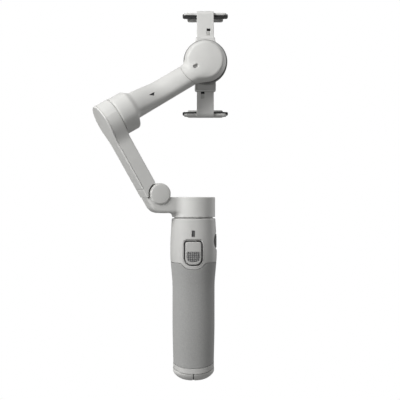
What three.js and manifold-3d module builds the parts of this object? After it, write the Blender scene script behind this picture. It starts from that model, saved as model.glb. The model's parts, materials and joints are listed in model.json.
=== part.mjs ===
// Folding three-axis phone gimbal on a pistol handle, with a telescopic rod, tripod legs stowed in
// the handle and a spring clamp. Millimetres, +Z up, +Y towards the user. The origin is the centre
// of the flat bottom, on the pan axis.
import * as THREE from "three";
import { mergeVertices } from "three/addons/utils/BufferGeometryUtils.js";
import Module from "manifold-3d";

const wasm = await Module();
wasm.setup();

// ---- driving dimensions -------------------------------------------------------------------------
const GAP = 0.3; // between pieces that touch or slide
const ROUND = 28; // sides of a large round
const SMALL_ROUND = 12; // sides of a small round

// handle
const HANDLE_BASE = 12; // lower edge of the grip
const HANDLE_TOP = 126.2;
const SPLIT_Z = 92.4; // control housing above, rubber grip below
const TONGUE_Z = 87.6; // the housing dips to here below the trigger
const TONGUE_HALF = 10.4;
const SHELL = 2.0;
const SECTION_POWER = 2.2; // how square the handle's section is; 2 is an ellipse
const TRIGGER = { half: 6.25, low: 91.3, high: 109.0, face: -20.5, back: -17.6 };
const BEZEL = { half: 8.3, low: 89.3, high: 111.0, wall: 1.3, back: -16.2 };
const STATUS = { half: 1.35, low: 113.0, high: 117.4 };
const DIAL = { z: 109.05, radius: 5.65, inner: 15.1, outer: 18.1 };
const DIAL_SCOOP = { x: 21.6, z: 107.5, radius: 7.7, front: -14, back: 9 }; // a thumb's way in
const DIAL_POCKET = { radius: 6.0, floor: 14.8 };
const PANEL = { half: 9.8, low: 93.6, high: 121.4 };
const STICK = { z: 112, pivot: 15.0, radius: 5.8 };
const BUTTON = { z: 98.6, x: 4.7, radius: 3.6 };
const PORT = { z: 104, halfLong: 4.8, halfWide: 1.9 };

// tripod, battery and telescopic rod inside the handle
const FOOT_TOP = 7.7;
const FOOT_RADIUS = 16.8;
const LEG = { inner: 9.5, outer: 12.0, top: 51.7 };
const LEG_TURN = 90; // degrees from +X to the middle of the first leg
const LEG_PIN = 0.45;
const SLIDER = { low: 52.0, high: 58.0 };
const CORE = { radius: 9.2, bore: 8.3, top: 63 };
const ROD = { inner: 10.0, wall: 0.8, low: 66.5, high: 125.2, stages: 4 };

// pan motor, beam and fold hinge
const PAN = { radius: 17.0, low: 128.3, high: 143.5, cavity: 14.8 };
const SWING = 18.5; // degrees the arm is turned about the pan axis
const FOLD = { radius: 30, z: 145.9, boss: 8.5, half: 10.1, ear: 4.6, pin: 2.2, knuckle: 8.0, foot: 9.6 };
const BEAM = { low: -14.9, high: -2.4, half: 9.4, bend: 10 };
const HEEL = 195; // degrees round the fold axis where elbow and arm part

// lower arm, drawn in its own frame: X towards the upper arm, Z along the arm
const ARM_LEAN = 30; // degrees from upright
const ARM = { inner: 1.0, seam: -9.3, outer: -10.7, half: 10.25, length: 67, motor: 15.6, coverStart: 9.5 };

// upper arm
const ROTOR = { low: 1.6, high: 14.2, radius: 15.6, cavity: 13.6 };
// The upper arm's section: X runs down across the arm, Y from front to back. Its front is an arc whose
// centre moves from the middle motor's axis to the far centre as the arm leaves the motor.
const TUBE = {
  top: -7.9, bottom: 11.4, back: 6.3, arc: 15, near: [2.6, 0.5], far: [7.0, 8.7], from: 3, to: 40,
};
const TUBE_SEAM = 20.5; // from the roll axis
const TUBE_NOTCH = { along: 26.4, across: 2.7, long: 6.0, wide: 2.4, depth: 1.0 };
const SENSOR = { beforeEnd: 11.9, across: 0.3, front: -5.2 };

// last motor and clamp, round the roll axis, which runs along Y
const ROLL = { x: 9.4, z: 252.1, radius: 17.6, face: -1.4, back: 8.5 };
const CAN = { low: 9.0, high: 16.5 };
const BRACKET = { half: 8.55, low: 229.3, high: 273.5, front: 16.8, back: 24.6 };
const STRAP = { half: 6.9, front: 20.5, back: 22.5, reach: 6.0 };
const JAW = { grip: 38.8, bar: 42.0, outer: 43.3, half: 17.4, padHalf: 18.6, pad: 1.1, lip: 36.8 };
const PHONE_PLANE = 25.4;

// ---- materials ----------------------------------------------------------------------------------
const material = (color, roughness, metalness = 0) =>
  new THREE.MeshStandardMaterial({ color, roughness, metalness });
const SHELL_GREY = 0xd3d2ce;
const GRIP_GREY = 0x8f8f8c;
const DARK = 0x2a2a2b;
const STEEL = 0xb9bcc0;

// ---- geometry helpers ---------------------------------------------------------------------------
const X = new THREE.Vector3(1, 0, 0);
const Y = new THREE.Vector3(0, 1, 0);
const Z = new THREE.Vector3(0, 0, 1);
const radians = THREE.MathUtils.degToRad;
const smoothstep = THREE.MathUtils.smoothstep;

// A closed three.js geometry as a solid. Triangles that collapse to a line at an axis are dropped,
// and a mesh that is inside out is turned.
function solid(geometry) {
  const bare = new THREE.BufferGeometry();
  bare.setAttribute("position", geometry.attributes.position);
  if (geometry.index) bare.setIndex(geometry.index);
  const merged = mergeVertices(bare, 1e-4);
  const at = merged.attributes.position;
  const corners = [];
  let volume = 0;
  const [a, b, c] = [new THREE.Vector3(), new THREE.Vector3(), new THREE.Vector3()];
  for (let i = 0; i < merged.index.count; i += 3) {
    const [p, q, r] = [0, 1, 2].map((k) => merged.index.getX(i + k));
    if (p === q || q === r || r === p) continue;
    corners.push(p, q, r);
    b.fromBufferAttribute(at, q).cross(c.fromBufferAttribute(at, r));
    volume += a.fromBufferAttribute(at, p).dot(b);
  }
  if (volume < 0) {
    for (let i = 0; i < corners.length; i += 3) {
      [corners[i], corners[i + 1]] = [corners[i + 1], corners[i]];
    }
  }
  const [vertProperties, triVerts] = [new Float32Array(at.array), new Uint32Array(corners)];
  return new wasm.Manifold(new wasm.Mesh({ numProp: 3, vertProperties, triVerts }));
}

const union = (first, ...rest) => rest.reduce((sum, next) => sum.add(next), first);
const cut = (first, ...rest) => rest.reduce((left, next) => left.subtract(next), first);

// Turns a shape drawn in X and Y, extruded along Z, to stand along another axis.
const frames = {
  X: new THREE.Matrix4().makeBasis(Y, Z, X),
  Y: new THREE.Matrix4().makeBasis(Z, X, Y),
  Z: new THREE.Matrix4(),
};

// A lathe about an axis from [radius, height] points; height runs along the axis.
function lathe(points, axis = "Z", centre = [0, 0, 0], sides = ROUND) {
  const outline = points.map(([r, h]) => new THREE.Vector2(r, h));
  const geometry = new THREE.LatheGeometry(outline, sides);
  geometry.rotateX(Math.PI / 2);
  geometry.applyMatrix4(frames[axis]);
  geometry.translate(...centre);
  return solid(geometry);
}

const disc = (radius, low, high, axis, centre, sides) =>
  lathe([[0, low], [radius, low], [radius, high], [0, high]], axis, centre, sides);

const tube = (bore, radius, low, high, axis, centre, sides) =>
  lathe([[bore, low], [radius, low], [radius, high], [bore, high], [bore, low]], axis, centre, sides);

// A disc whose far edge is rounded with the given radius.
function domed(radius, low, high, edge, axis, centre, sides) {
  const points = [[0, low], [radius, low]];
  for (let i = 0; i <= 2; i++) {
    const turn = (i / 2) * (Math.PI / 2);
    points.push([radius - edge + edge * Math.cos(turn), high - edge + edge * Math.sin(turn)]);
  }
  points.push([0, high]);
  return lathe(points, axis, centre, sides);
}

function box(x0, x1, y0, y1, z0, z1) {
  const geometry = new THREE.BoxGeometry(x1 - x0, y1 - y0, z1 - z0);
  geometry.translate((x0 + x1) / 2, (y0 + y1) / 2, (z0 + z1) / 2);
  return solid(geometry);
}

// A rectangle with its lower and upper corners rounded by different radii.
function roundedRectangle(x0, x1, y0, y1, lower, upper = lower) {
  const shape = new THREE.Shape();
  shape.absarc(x1 - lower, y0 + lower, lower, -Math.PI / 2, 0);
  shape.absarc(x1 - upper, y1 - upper, upper, 0, Math.PI / 2);
  shape.absarc(x0 + upper, y1 - upper, upper, Math.PI / 2, Math.PI);
  shape.absarc(x0 + lower, y0 + lower, lower, Math.PI, 1.5 * Math.PI);
  return shape;
}

// Extrudes a shape by depth, with an optional bevel that keeps the shape's own outline.
function extrude(shape, depth, bevel = 0, curveSegments = 2) {
  return new THREE.ExtrudeGeometry(shape, {
    depth: depth - 2 * bevel,
    curveSegments,
    bevelEnabled: bevel > 0,
    bevelThickness: bevel,
    bevelSize: bevel,
    bevelOffset: -bevel,
    bevelSegments: 1,
  }).translate(0, 0, bevel);
}

// A shape in X and Z, extruded along Y between two planes.
function prismY(shape, y0, y1, bevel, curveSegments) {
  const geometry = extrude(shape, y1 - y0, bevel, curveSegments);
  geometry.applyMatrix4(new THREE.Matrix4().makeBasis(X, Z, Y.clone().negate()));
  return solid(geometry.translate(0, y1, 0));
}

// A shape in Y and Z, extruded along X between two planes.
function prismX(shape, x0, x1, bevel, curveSegments) {
  const geometry = extrude(shape, x1 - x0, bevel, curveSegments);
  geometry.applyMatrix4(frames.X);
  return solid(geometry.translate(x0, 0, 0));
}

const object = new THREE.Group();

// Adds a solid to a group as one named mesh with a material of its own.
function part(group, name, body, look) {
  const { vertProperties, triVerts } = body.getMesh();
  const geometry = new THREE.BufferGeometry();
  geometry.setAttribute("position", new THREE.BufferAttribute(vertProperties, 3));
  geometry.setIndex(new THREE.BufferAttribute(triVerts, 1));
  geometry.computeVertexNormals();
  const mesh = new THREE.Mesh(geometry, look);
  mesh.name = name;
  group.add(mesh);
}

// ---- handle section -----------------------------------------------------------------------------
// Half the handle's width at a height: slim at the grip, fuller at the controls, closing in again
// towards the pan motor.
const halfWidth = (z) =>
  16 + 0.6 * smoothstep(z, 8, 45) + 1.75 * smoothstep(z, 72, 100) - 1.25 * smoothstep(z, 104, 132);

// The front stands a little further out than the sides where the finger pulls the trigger.
const frontDepth = (z) => halfWidth(z) + 1.2 * smoothstep(z, 60, 98) * (1 - smoothstep(z, 108, 126));

function handleForm(inset, low, high, rows = 9) {
  const outline = [new THREE.Vector2(0, low)];
  for (let i = 0; i <= rows; i++) outline.push(new THREE.Vector2(1, low + ((high - low) * i) / rows));
  outline.push(new THREE.Vector2(0, high));
  const geometry = new THREE.LatheGeometry(outline, ROUND);
  geometry.rotateX(Math.PI / 2);
  const at = geometry.attributes.position;
  const squared = (value) => Math.sign(value) * Math.abs(value) ** (2 / SECTION_POWER);
  for (let i = 0; i < at.count; i++) {
    const turn = Math.atan2(at.getY(i), at.getX(i));
    const reach = Math.hypot(at.getX(i), at.getY(i));
    const z = at.getZ(i);
    const depth = (Math.sin(turn) < 0 ? frontDepth(z) : halfWidth(z)) - inset;
    at.setX(i, reach * (halfWidth(z) - inset) * squared(Math.cos(turn)));
    at.setY(i, reach * depth * squared(Math.sin(turn)));
  }
  return solid(geometry);
}

// The space above the line where housing and grip meet: level at the back and the sides, dipping in
// a soft tongue below the trigger.
function aboveSplit(clearance) {
  const level = SPLIT_Z - clearance;
  const dip = TONGUE_Z - clearance;
  const half = TONGUE_HALF + clearance;
  const shape = new THREE.Shape();
  shape.moveTo(-30, level);
  shape.lineTo(-half - 1.2, level);
  shape.bezierCurveTo(-half + 0.6, level, -half + 1.6, dip, -half + 6.2, dip);
  shape.lineTo(half - 6.2, dip);
  shape.bezierCurveTo(half - 1.6, dip, half - 0.6, level, half + 1.2, level);
  shape.lineTo(30, level);
  shape.lineTo(30, 140);
  shape.lineTo(-30, 140);
  return union(prismY(shape, -30, 0), box(-30, 30, -1, 30, level, 140));
}

const bezelShape = (grow) => {
  const half = BEZEL.half + grow;
  return roundedRectangle(-half, half, BEZEL.low - grow, BEZEL.high + grow, 6.9 + grow, 3.4 + grow);
};
const panelShape = (grow) => {
  const half = PANEL.half + grow;
  return roundedRectangle(-half, half, PANEL.low - grow, PANEL.high + grow, 5);
};
const portShape = (grow) => {
  const half = PORT.halfWide + grow;
  const tall = PORT.halfLong + grow;
  return roundedRectangle(-half, half, PORT.z - tall, PORT.z + tall, half - 0.01);
};

function controlHousing() {
  const { x, z, radius, front, back } = DIAL_SCOOP;
  const dialSeat = box(DIAL_POCKET.floor - 2, 30, front + 1.5, back, z - 10, z + 10).intersect(
    handleForm(SHELL - 0.1, HANDLE_BASE, HANDLE_TOP - 1, 4),
  );
  const inside = handleForm(SHELL, HANDLE_BASE - 1, HANDLE_TOP - SHELL, 6);
  const shell = cut(handleForm(0, HANDLE_BASE, HANDLE_TOP), inside);
  return cut(
    union(shell, dialSeat).intersect(aboveSplit(0)),
    prismY(bezelShape(GAP), -30, 0),
    prismY(panelShape(GAP), 5, 30),
    prismY(roundedRectangle(-STATUS.half, STATUS.half, STATUS.low, STATUS.high, 0.6), -30, -10),
    prismX(portShape(GAP), -30, -5),
    disc(radius, front, back, "Y", [x, 0, z]),
    disc(DIAL_POCKET.radius, DIAL_POCKET.floor, 30, "X", [0, 0, DIAL.z]),
    disc(1.6, 5, 20, "X", [0, 0, DIAL.z], SMALL_ROUND),
    disc(ROD.inner + ROD.wall + GAP, 110, 130),
  );
}

function buildHandle() {
  const shellLook = () => material(SHELL_GREY, 0.5);
  part(object, "control_housing", controlHousing(), shellLook());

  const sleeve = cut(
    handleForm(0, HANDLE_BASE + GAP, 110, 8),
    handleForm(1.8, HANDLE_BASE - 5, 115, 8),
    aboveSplit(GAP),
  );
  part(object, "grip_sleeve", sleeve, material(GRIP_GREY, 0.85));

  const frame = cut(handleForm(2.2, HANDLE_BASE + GAP, 86.5, 6), handleForm(3.7, HANDLE_BASE - 2, 90, 6));
  part(object, "grip_frame", frame, material(0x55565a, 0.6));

  const ring = cut(handleForm(-0.05, 8, HANDLE_BASE, 2), disc(LEG.outer + GAP, 0, 20));
  part(object, "base_ring", ring, shellLook());

  // A tube for the battery, with the flat centre of the handle's bottom as its closed end.
  const core = cut(
    union(
      lathe([[0, 0], [4.9, 0], [5.5, 0.6], [5.5, 9]].concat(
        [[CORE.radius, 9], [CORE.radius, CORE.top], [0, CORE.top]])),
      disc(11.9, 60, CORE.top),
    ),
    disc(CORE.bore, 11, 70),
  );
  part(object, "core_tube", core, material(0x3a3b3d, 0.6));
  part(object, "battery_pack", domed(CORE.bore - GAP, 11.4, 61.5, 0.8, "Z"), material(0x3f5c7a, 0.5));

  const guide = union(
    tube(ROD.inner, ROD.inner + ROD.wall, 64, 126),
    tube(ROD.inner, 12.6, 64, 66),
  );
  part(object, "rod_guide", guide, material(STEEL, 0.35, 0.9));

  part(object, "main_board", box(-10.5, 10.5, 11.2, 12.1, 88, 120), material(0x1f5a38, 0.6));
  part(object, "joystick_base", joystickBase(), material(DARK, 0.6));
  part(object, "control_panel", controlPanel(), shellLook());

  const window = roundedRectangle(
    -STATUS.half + GAP, STATUS.half - GAP, STATUS.low + GAP, STATUS.high - GAP, 0.4,
  );
  part(object, "status_window", prismY(window, -17.7, -16.6), material(0x4a4b4b, 0.2));

  const port = cut(prismX(portShape(0), -17.9, -11.5), prismX(portShape(-0.7), -30, -12.3));
  part(object, "usb_port", port, material(0x77797c, 0.35, 0.8));

  part(object, "dial_axle", disc(1.2, 11.3, 17.1, "X", [0, 0, DIAL.z], SMALL_ROUND), material(STEEL, 0.3, 1));

  const bezel = cut(
    prismY(bezelShape(0), -30, BEZEL.back).intersect(handleForm(0, 85, 115, 5)),
    prismY(bezelShape(-BEZEL.wall), -31, 0),
  );
  part(object, "trigger_bezel", bezel, shellLook());
}

// The rear plate that the stick and the buttons come through, flush with the handle's surface.
function controlPanel() {
  const wall = cut(handleForm(0, 85, 126, 5), handleForm(1.8, 84, 127, 3));
  return cut(
    wall.intersect(prismY(panelShape(0), 5, 30)),
    disc(7.4, 10, 30, "Y", [0, 0, STICK.z], 32),
    disc(BUTTON.radius + GAP, 10, 30, "Y", [BUTTON.x, 0, BUTTON.z], SMALL_ROUND),
    disc(BUTTON.radius + GAP, 10, 30, "Y", [-BUTTON.x, 0, BUTTON.z], SMALL_ROUND),
  );
}

// The stick's fixed seat: a thin plate on the board with two cheeks.
function joystickBase() {
  const { z, pivot } = STICK;
  const cheek = (side) => box(Math.min(side * 4.6, side * 5.6), Math.max(side * 4.6, side * 5.6),
    12.5, pivot + 1, z - 1.6, z + 1.6);
  return union(box(-5.6, 5.6, 12.4, 13.0, z - 5.5, z + 5.5), cheek(-1), cheek(1));
}

// ---- controls that move -------------------------------------------------------------------------
function buildControls() {
  const shape = roundedRectangle(-TRIGGER.half, TRIGGER.half, TRIGGER.low, TRIGGER.high, 5, 1.6);
  const pad = roundedRectangle(-5.25, 5.25, 93.5, 101.3, 3.6, 0.6);
  const trigger = cut(
    prismY(shape, TRIGGER.face, TRIGGER.back, 0.5),
    prismY(pad, TRIGGER.face - 1, TRIGGER.face + 0.25),
  );
  part(object, "trigger", trigger, material(0xbdbcb8, 0.5));

  const dial = cut(
    domed(DIAL.radius, DIAL.inner, DIAL.outer, 0.7, "X", [0, 0, DIAL.z], 36),
    disc(1.5, 10, 17.4, "X", [0, 0, DIAL.z], SMALL_ROUND),
  );
  part(object, "side_dial", dial, material(0x6b6b69, 0.6));

  const { z, pivot, radius } = STICK;
  part(object, "joystick_yoke", tube(2.4, 4.0, pivot - 0.8, pivot + 0.8, "Y", [0, 0, z], SMALL_ROUND),
    material(STEEL, 0.4, 0.8));
  const cap = union(
    disc(1.5, pivot - 0.6, 18.9, "Y", [0, 0, z], SMALL_ROUND),
    domed(radius, 18.6, 21.4, 1.8, "Y", [0, 0, z], 32),
  );
  part(object, "joystick_cap", cap, material(0x4c4c4c, 0.7));

  for (const [name, side, colour] of [["record_button", 1, 0xb4423a], ["mode_button", -1, 0xbdbcb8]]) {
    const button = domed(BUTTON.radius, 14.5, 18.5, 0.5, "Y", [side * BUTTON.x, 0, BUTTON.z], SMALL_ROUND);
    part(object, name, button, material(colour, 0.5));
  }
}

// ---- stowed tripod ------------------------------------------------------------------------------
// Three legs, each an arc of tube in the handle with a third of the domed bottom as its foot.
function buildTripod() {
  const slider = tube(LEG.inner, LEG.outer, SLIDER.low, SLIDER.high);
  const pinNotches = [0, 1, 2].map((i) =>
    box(8, 14, -3.2, 3.2, SLIDER.low - 1, SLIDER.low + 3.4).rotate([0, 0, LEG_TURN + 120 * i]));
  part(object, "tripod_slider", cut(slider, ...pinNotches), material(0x8c8f92, 0.4, 0.7));

  const dome = lathe([
    [6.0, 0.35], [9.6, 0.3], [11.4, 0.75], [13.6, 2.0], [15.2, 3.6], [16.1, 5.2], [FOOT_RADIUS, 7.0],
    [FOOT_RADIUS, FOOT_TOP], [6.0, FOOT_TOP], [6.0, 0.35],
  ]);
  for (let i = 0; i < 3; i++) {
    const middle = LEG_TURN + 120 * i;
    const wedge = (gap, low, high) => {
      const shape = new THREE.Shape();
      const turn = radians(60);
      shape.moveTo(gap / Math.cos(radians(30)), 0);
      shape.lineTo(40 * Math.cos(turn) + gap, 40 * Math.sin(turn));
      shape.lineTo(40, 0);
      shape.lineTo(40 * Math.cos(turn) + gap, -40 * Math.sin(turn));
      const geometry = new THREE.ExtrudeGeometry(shape, { depth: high - low, bevelEnabled: false });
      return solid(geometry.rotateZ(radians(middle)).translate(0, 0, low));
    };
    const shaft = tube(LEG.inner, LEG.outer, FOOT_TOP - 1, LEG.top).intersect(wedge(1.2, 0, 60));
    const pivot = [(LEG.inner + LEG.outer) / 2, 0, SLIDER.low + 1.2];
    const tab = cut(
      box(LEG.inner + 0.1, LEG.outer - 0.1, -2.8, 2.8, LEG.top - 2, SLIDER.low + 3),
      disc(LEG_PIN + 0.25, -15, 15, "Y", pivot, 12),
    ).rotate([0, 0, middle]);
    const foot = dome.intersect(wedge(0.35, -1, 20));
    part(object, `tripod_leg_${i + 1}`, union(foot, shaft, tab), material(SHELL_GREY, 0.5));
    const pin = disc(LEG_PIN, -2.7, 2.7, "Y", pivot, 12);
    part(object, `leg_pin_${i + 1}`, pin.rotate([0, 0, middle]), material(STEEL, 0.3, 1));
  }
}

// ---- telescopic rod and pan motor base ----------------------------------------------------------
function buildRod() {
  let outer = ROD.inner - GAP;
  for (let i = 1; i <= ROD.stages; i++) {
    const stage = tube(outer - ROD.wall, outer, ROD.low, ROD.high);
    part(object, `rod_stage_${i}`, stage, material(STEEL, 0.3, 0.9));
    outer -= ROD.wall + GAP;
  }
  const head = union(disc(outer, 108, 125.6), disc(9.4, 125.5, 126.2));
  part(object, "rod_head", head, material(0x6f7174, 0.4, 0.8));
  part(object, "pan_base_plate", lathe([[0, 126.5], [14.9, 126.5], [15.2, 126.8], [15.2, 128.0], [0, 128.0]]),
    material(DARK, 0.5));
  const stator = union(disc(3, 128.3, 139.8), disc(11.4, 130.3, 137.5));
  part(object, "pan_stator", stator, material(0x8a5a33, 0.5, 0.6));
}

// ---- pan housing with beam and elbow ------------------------------------------------------------
// The elbow is drawn about the fold axis: p runs towards the pan axis, q runs up.
function elbowShape() {
  const lean = radians(ARM_LEAN);
  const { low, high, bend } = BEAM;
  const centreQ = low + bend;
  const centreP = (ARM.outer + bend - centreQ * Math.sin(lean)) / Math.cos(lean);
  const heel = radians(HEEL);
  const heelReach = ARM.outer / Math.cos(heel - lean);
  const shape = new THREE.Shape();
  shape.moveTo(FOLD.radius - 12, low);
  shape.lineTo(centreP, low);
  shape.absarc(centreP, centreQ, bend, -Math.PI / 2, Math.PI + lean - 2 * Math.PI, true);
  shape.lineTo(heelReach * Math.cos(heel), heelReach * Math.sin(heel));
  shape.absarc(0, 0, FOLD.boss, heel, Math.asin(high / FOLD.boss), true);
  shape.lineTo(FOLD.radius - 12, high);
  return shape;
}

function buildPan(group, hinge) {
  const shell = lathe([[0, PAN.low], [PAN.radius, PAN.low], [PAN.radius, PAN.high - 0.6],
    [PAN.radius - 0.6, PAN.high], [0, PAN.high]]);
  const [hx, , hz] = hinge;
  const elbow = solid(extrude(elbowShape(), 2 * BEAM.half, 0, 8)
    .applyMatrix4(new THREE.Matrix4().makeBasis(X, Z, Y.clone().negate()))
    .translate(hx, BEAM.half, hz));
  const boss = union(
    domed(FOLD.boss, 0, FOLD.half, 1.1, "Y", hinge),
    domed(FOLD.boss, 0, FOLD.half, 1.1, "Y", [0, 0, 0]).rotate([180, 0, 0]).translate(hinge),
  );
  const capSeat = disc(7.2, -30, -(FOLD.half - 0.8), "Y", hinge);
  const pinBore = disc(FOLD.pin + GAP, -FOLD.half + 2.2, FOLD.half - 2.2, "Y", hinge, SMALL_ROUND);
  const knuckleSpace = disc(FOLD.knuckle + 1.3, -FOLD.ear, FOLD.ear, "Y", hinge);
  const housing = cut(
    union(shell, elbow, boss),
    disc(PAN.cavity, 120, PAN.high - 2.9),
    disc(14.0, PAN.high - 1.4, 150),
    capSeat, pinBore, knuckleSpace,
  );
  part(group, "pan_housing", housing, material(SHELL_GREY, 0.5));
  const cover = domed(13.7, PAN.high - 1.1, PAN.high + 0.1, 0.4, "Z");
  part(group, "pan_top_cover", cover, material(SHELL_GREY, 0.5));
  part(group, "pan_rotor_ring", tube(12.0, PAN.cavity - GAP, 130.3, 138), material(0x77797c, 0.4, 0.8));
  const pin = disc(FOLD.pin, -FOLD.half + 2.4, FOLD.half - 2.4, "Y", hinge, SMALL_ROUND);
  part(group, "fold_pin", pin, material(STEEL, 0.3, 1));
  const capPlace = [hx, -FOLD.half + 0.5, hz];
  const cap = domed(6.9, 0, 1.7, 0.6, "Y", [0, 0, 0]).rotate([180, 0, 0]).translate(capPlace);
  part(group, "fold_cap", cap, material(0xc9c9c4, 0.5));
}

// ---- lower arm ----------------------------------------------------------------------------------
// The arm seen square on: a strap that swells into the motor's round end.
function armOutline(inset) {
  const { half, length, motor } = ARM;
  const [h, r] = [half - inset, motor - inset];
  const meet = radians(-52);
  const [mx, mz] = [r * Math.cos(meet), length + r * Math.sin(meet)];
  const shape = new THREE.Shape();
  shape.moveTo(-h, -20);
  shape.lineTo(h, -20);
  shape.lineTo(h, length - 26);
  shape.quadraticCurveTo(h, mz - (mx - h) * 1.28 - 2.6, mx, mz);
  shape.absarc(0, length, r, meet, Math.PI - meet);
  shape.quadraticCurveTo(-h, mz - (mx - h) * 1.28 - 2.6, -h, length - 26);
  return shape;
}

// The arm seen from the side, round the fold axis at its foot.
function armProfile(outer) {
  const clear = FOLD.foot;
  const heel = radians(HEEL - ARM_LEAN - 2.6);
  const reach = ARM.outer / Math.cos(heel);
  const top = ARM.length + ARM.motor + 2;
  const shape = new THREE.Shape();
  shape.moveTo(ARM.inner, top);
  shape.lineTo(outer, top);
  shape.lineTo(outer, outer * Math.tan(heel));
  if (outer === ARM.outer) shape.lineTo(reach * Math.cos(heel), reach * Math.sin(heel));
  shape.absarc(0, 0, clear, heel, Math.acos(ARM.inner / clear), true);
  return shape;
}

function buildLowerArm(group) {
  const { inner, seam, outer, length, coverStart } = ARM;
  const outline = (inset, x0, x1, bevel = 0) => prismX(armOutline(inset), x0, x1, bevel, 8);
  const side = prismY(armProfile(outer), -20, 20, 0, 6);
  const knuckle = union(
    disc(FOLD.knuckle, -FOLD.ear + GAP, FOLD.ear - GAP, "Y", [0, 0, 0]),
    box(-8.5, 0, -FOLD.ear + GAP, FOLD.ear - GAP, 0, 12),
  );
  const coverSpace = box(-20, seam, -20, 20, coverStart, 100);
  const pocket = cut(
    prismX(armOutline(1.7), seam - 5, inner - 1.8, 0, 8),
    box(-20, 5, -20, 20, -30, coverStart + 6),
  );
  const body = cut(
    union(side.intersect(outline(0, outer, inner)), knuckle),
    coverSpace, pocket,
    disc(FOLD.pin + GAP, -20, 20, "Y", [0, 0, 0], SMALL_ROUND),
    disc(3.5, -20, 5, "X", [0, 0, length], SMALL_ROUND),
  );
  part(group, "lower_arm_body", body, material(SHELL_GREY, 0.5));

  const cover = outline(0, outer, seam - GAP, 0.5).intersect(box(-20, 0, -20, 20, coverStart + GAP, 100));
  part(group, "lower_arm_cover", cover, material(SHELL_GREY, 0.5));

  const stator = union(
    disc(8, -3.2, inner - 2.1, "X", [0, 0, length], 32),
    disc(3, -3.2, 11.0, "X", [0, 0, length], SMALL_ROUND),
    disc(11, 3.4, 10.4, "X", [0, 0, length]),
  );
  part(group, "tilt_stator", stator, material(0x8a5a33, 0.5, 0.6));
  part(group, "arm_board", box(-8.2, -7.2, -7, 7, 20, 46), material(0x1f5a38, 0.6));
}

// ---- upper arm ----------------------------------------------------------------------------------
// How deep the arm's front lies, for a distance along the arm and a place across it.
function armFront(at, across, inset) {
  const { arc, near, far, from, to } = TUBE;
  const shift = smoothstep(at, from, to);
  const [centreA, centreD] = [0, 1].map((k) => near[k] + (far[k] - near[k]) * shift);
  return centreD - Math.sqrt(Math.max((arc - inset) ** 2 - (across - centreA) ** 2, 0));
}

// One section of the arm, as points across and deep, for a distance along the arm.
function armSection(at, inset) {
  const { top, bottom, back } = TUBE;
  const [low, high, rear, corner] = [bottom - inset, top + inset, back - inset, 3.6];
  const points = [];
  for (let i = 0; i <= 6; i++) {
    const across = high + ((low - corner - high) * i) / 6;
    points.push([across, Math.min(armFront(at, across, inset), rear - 1)]);
  }
  const last = points[6][1];
  points.push([low - 0.3 * corner, last + 0.3 * corner], [low, last + corner]);
  points.push([low, rear - 1.5], [low - 1.5, rear], [high + 1, rear]);
  return points;
}

// The arm between two distances along it, as a chain of convex pieces in the arm's frame.
function armBar(frame, inset, stops) {
  const pieces = [];
  for (let i = 1; i < stops.length; i++) {
    const ends = [stops[i - 1], stops[i]];
    const corners = ends.flatMap((at) => armSection(at, inset).map(([a, d]) => [a, d, at]));
    pieces.push(wasm.Manifold.hull(corners));
  }
  return union(...pieces).transform(frame.elements);
}

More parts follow.
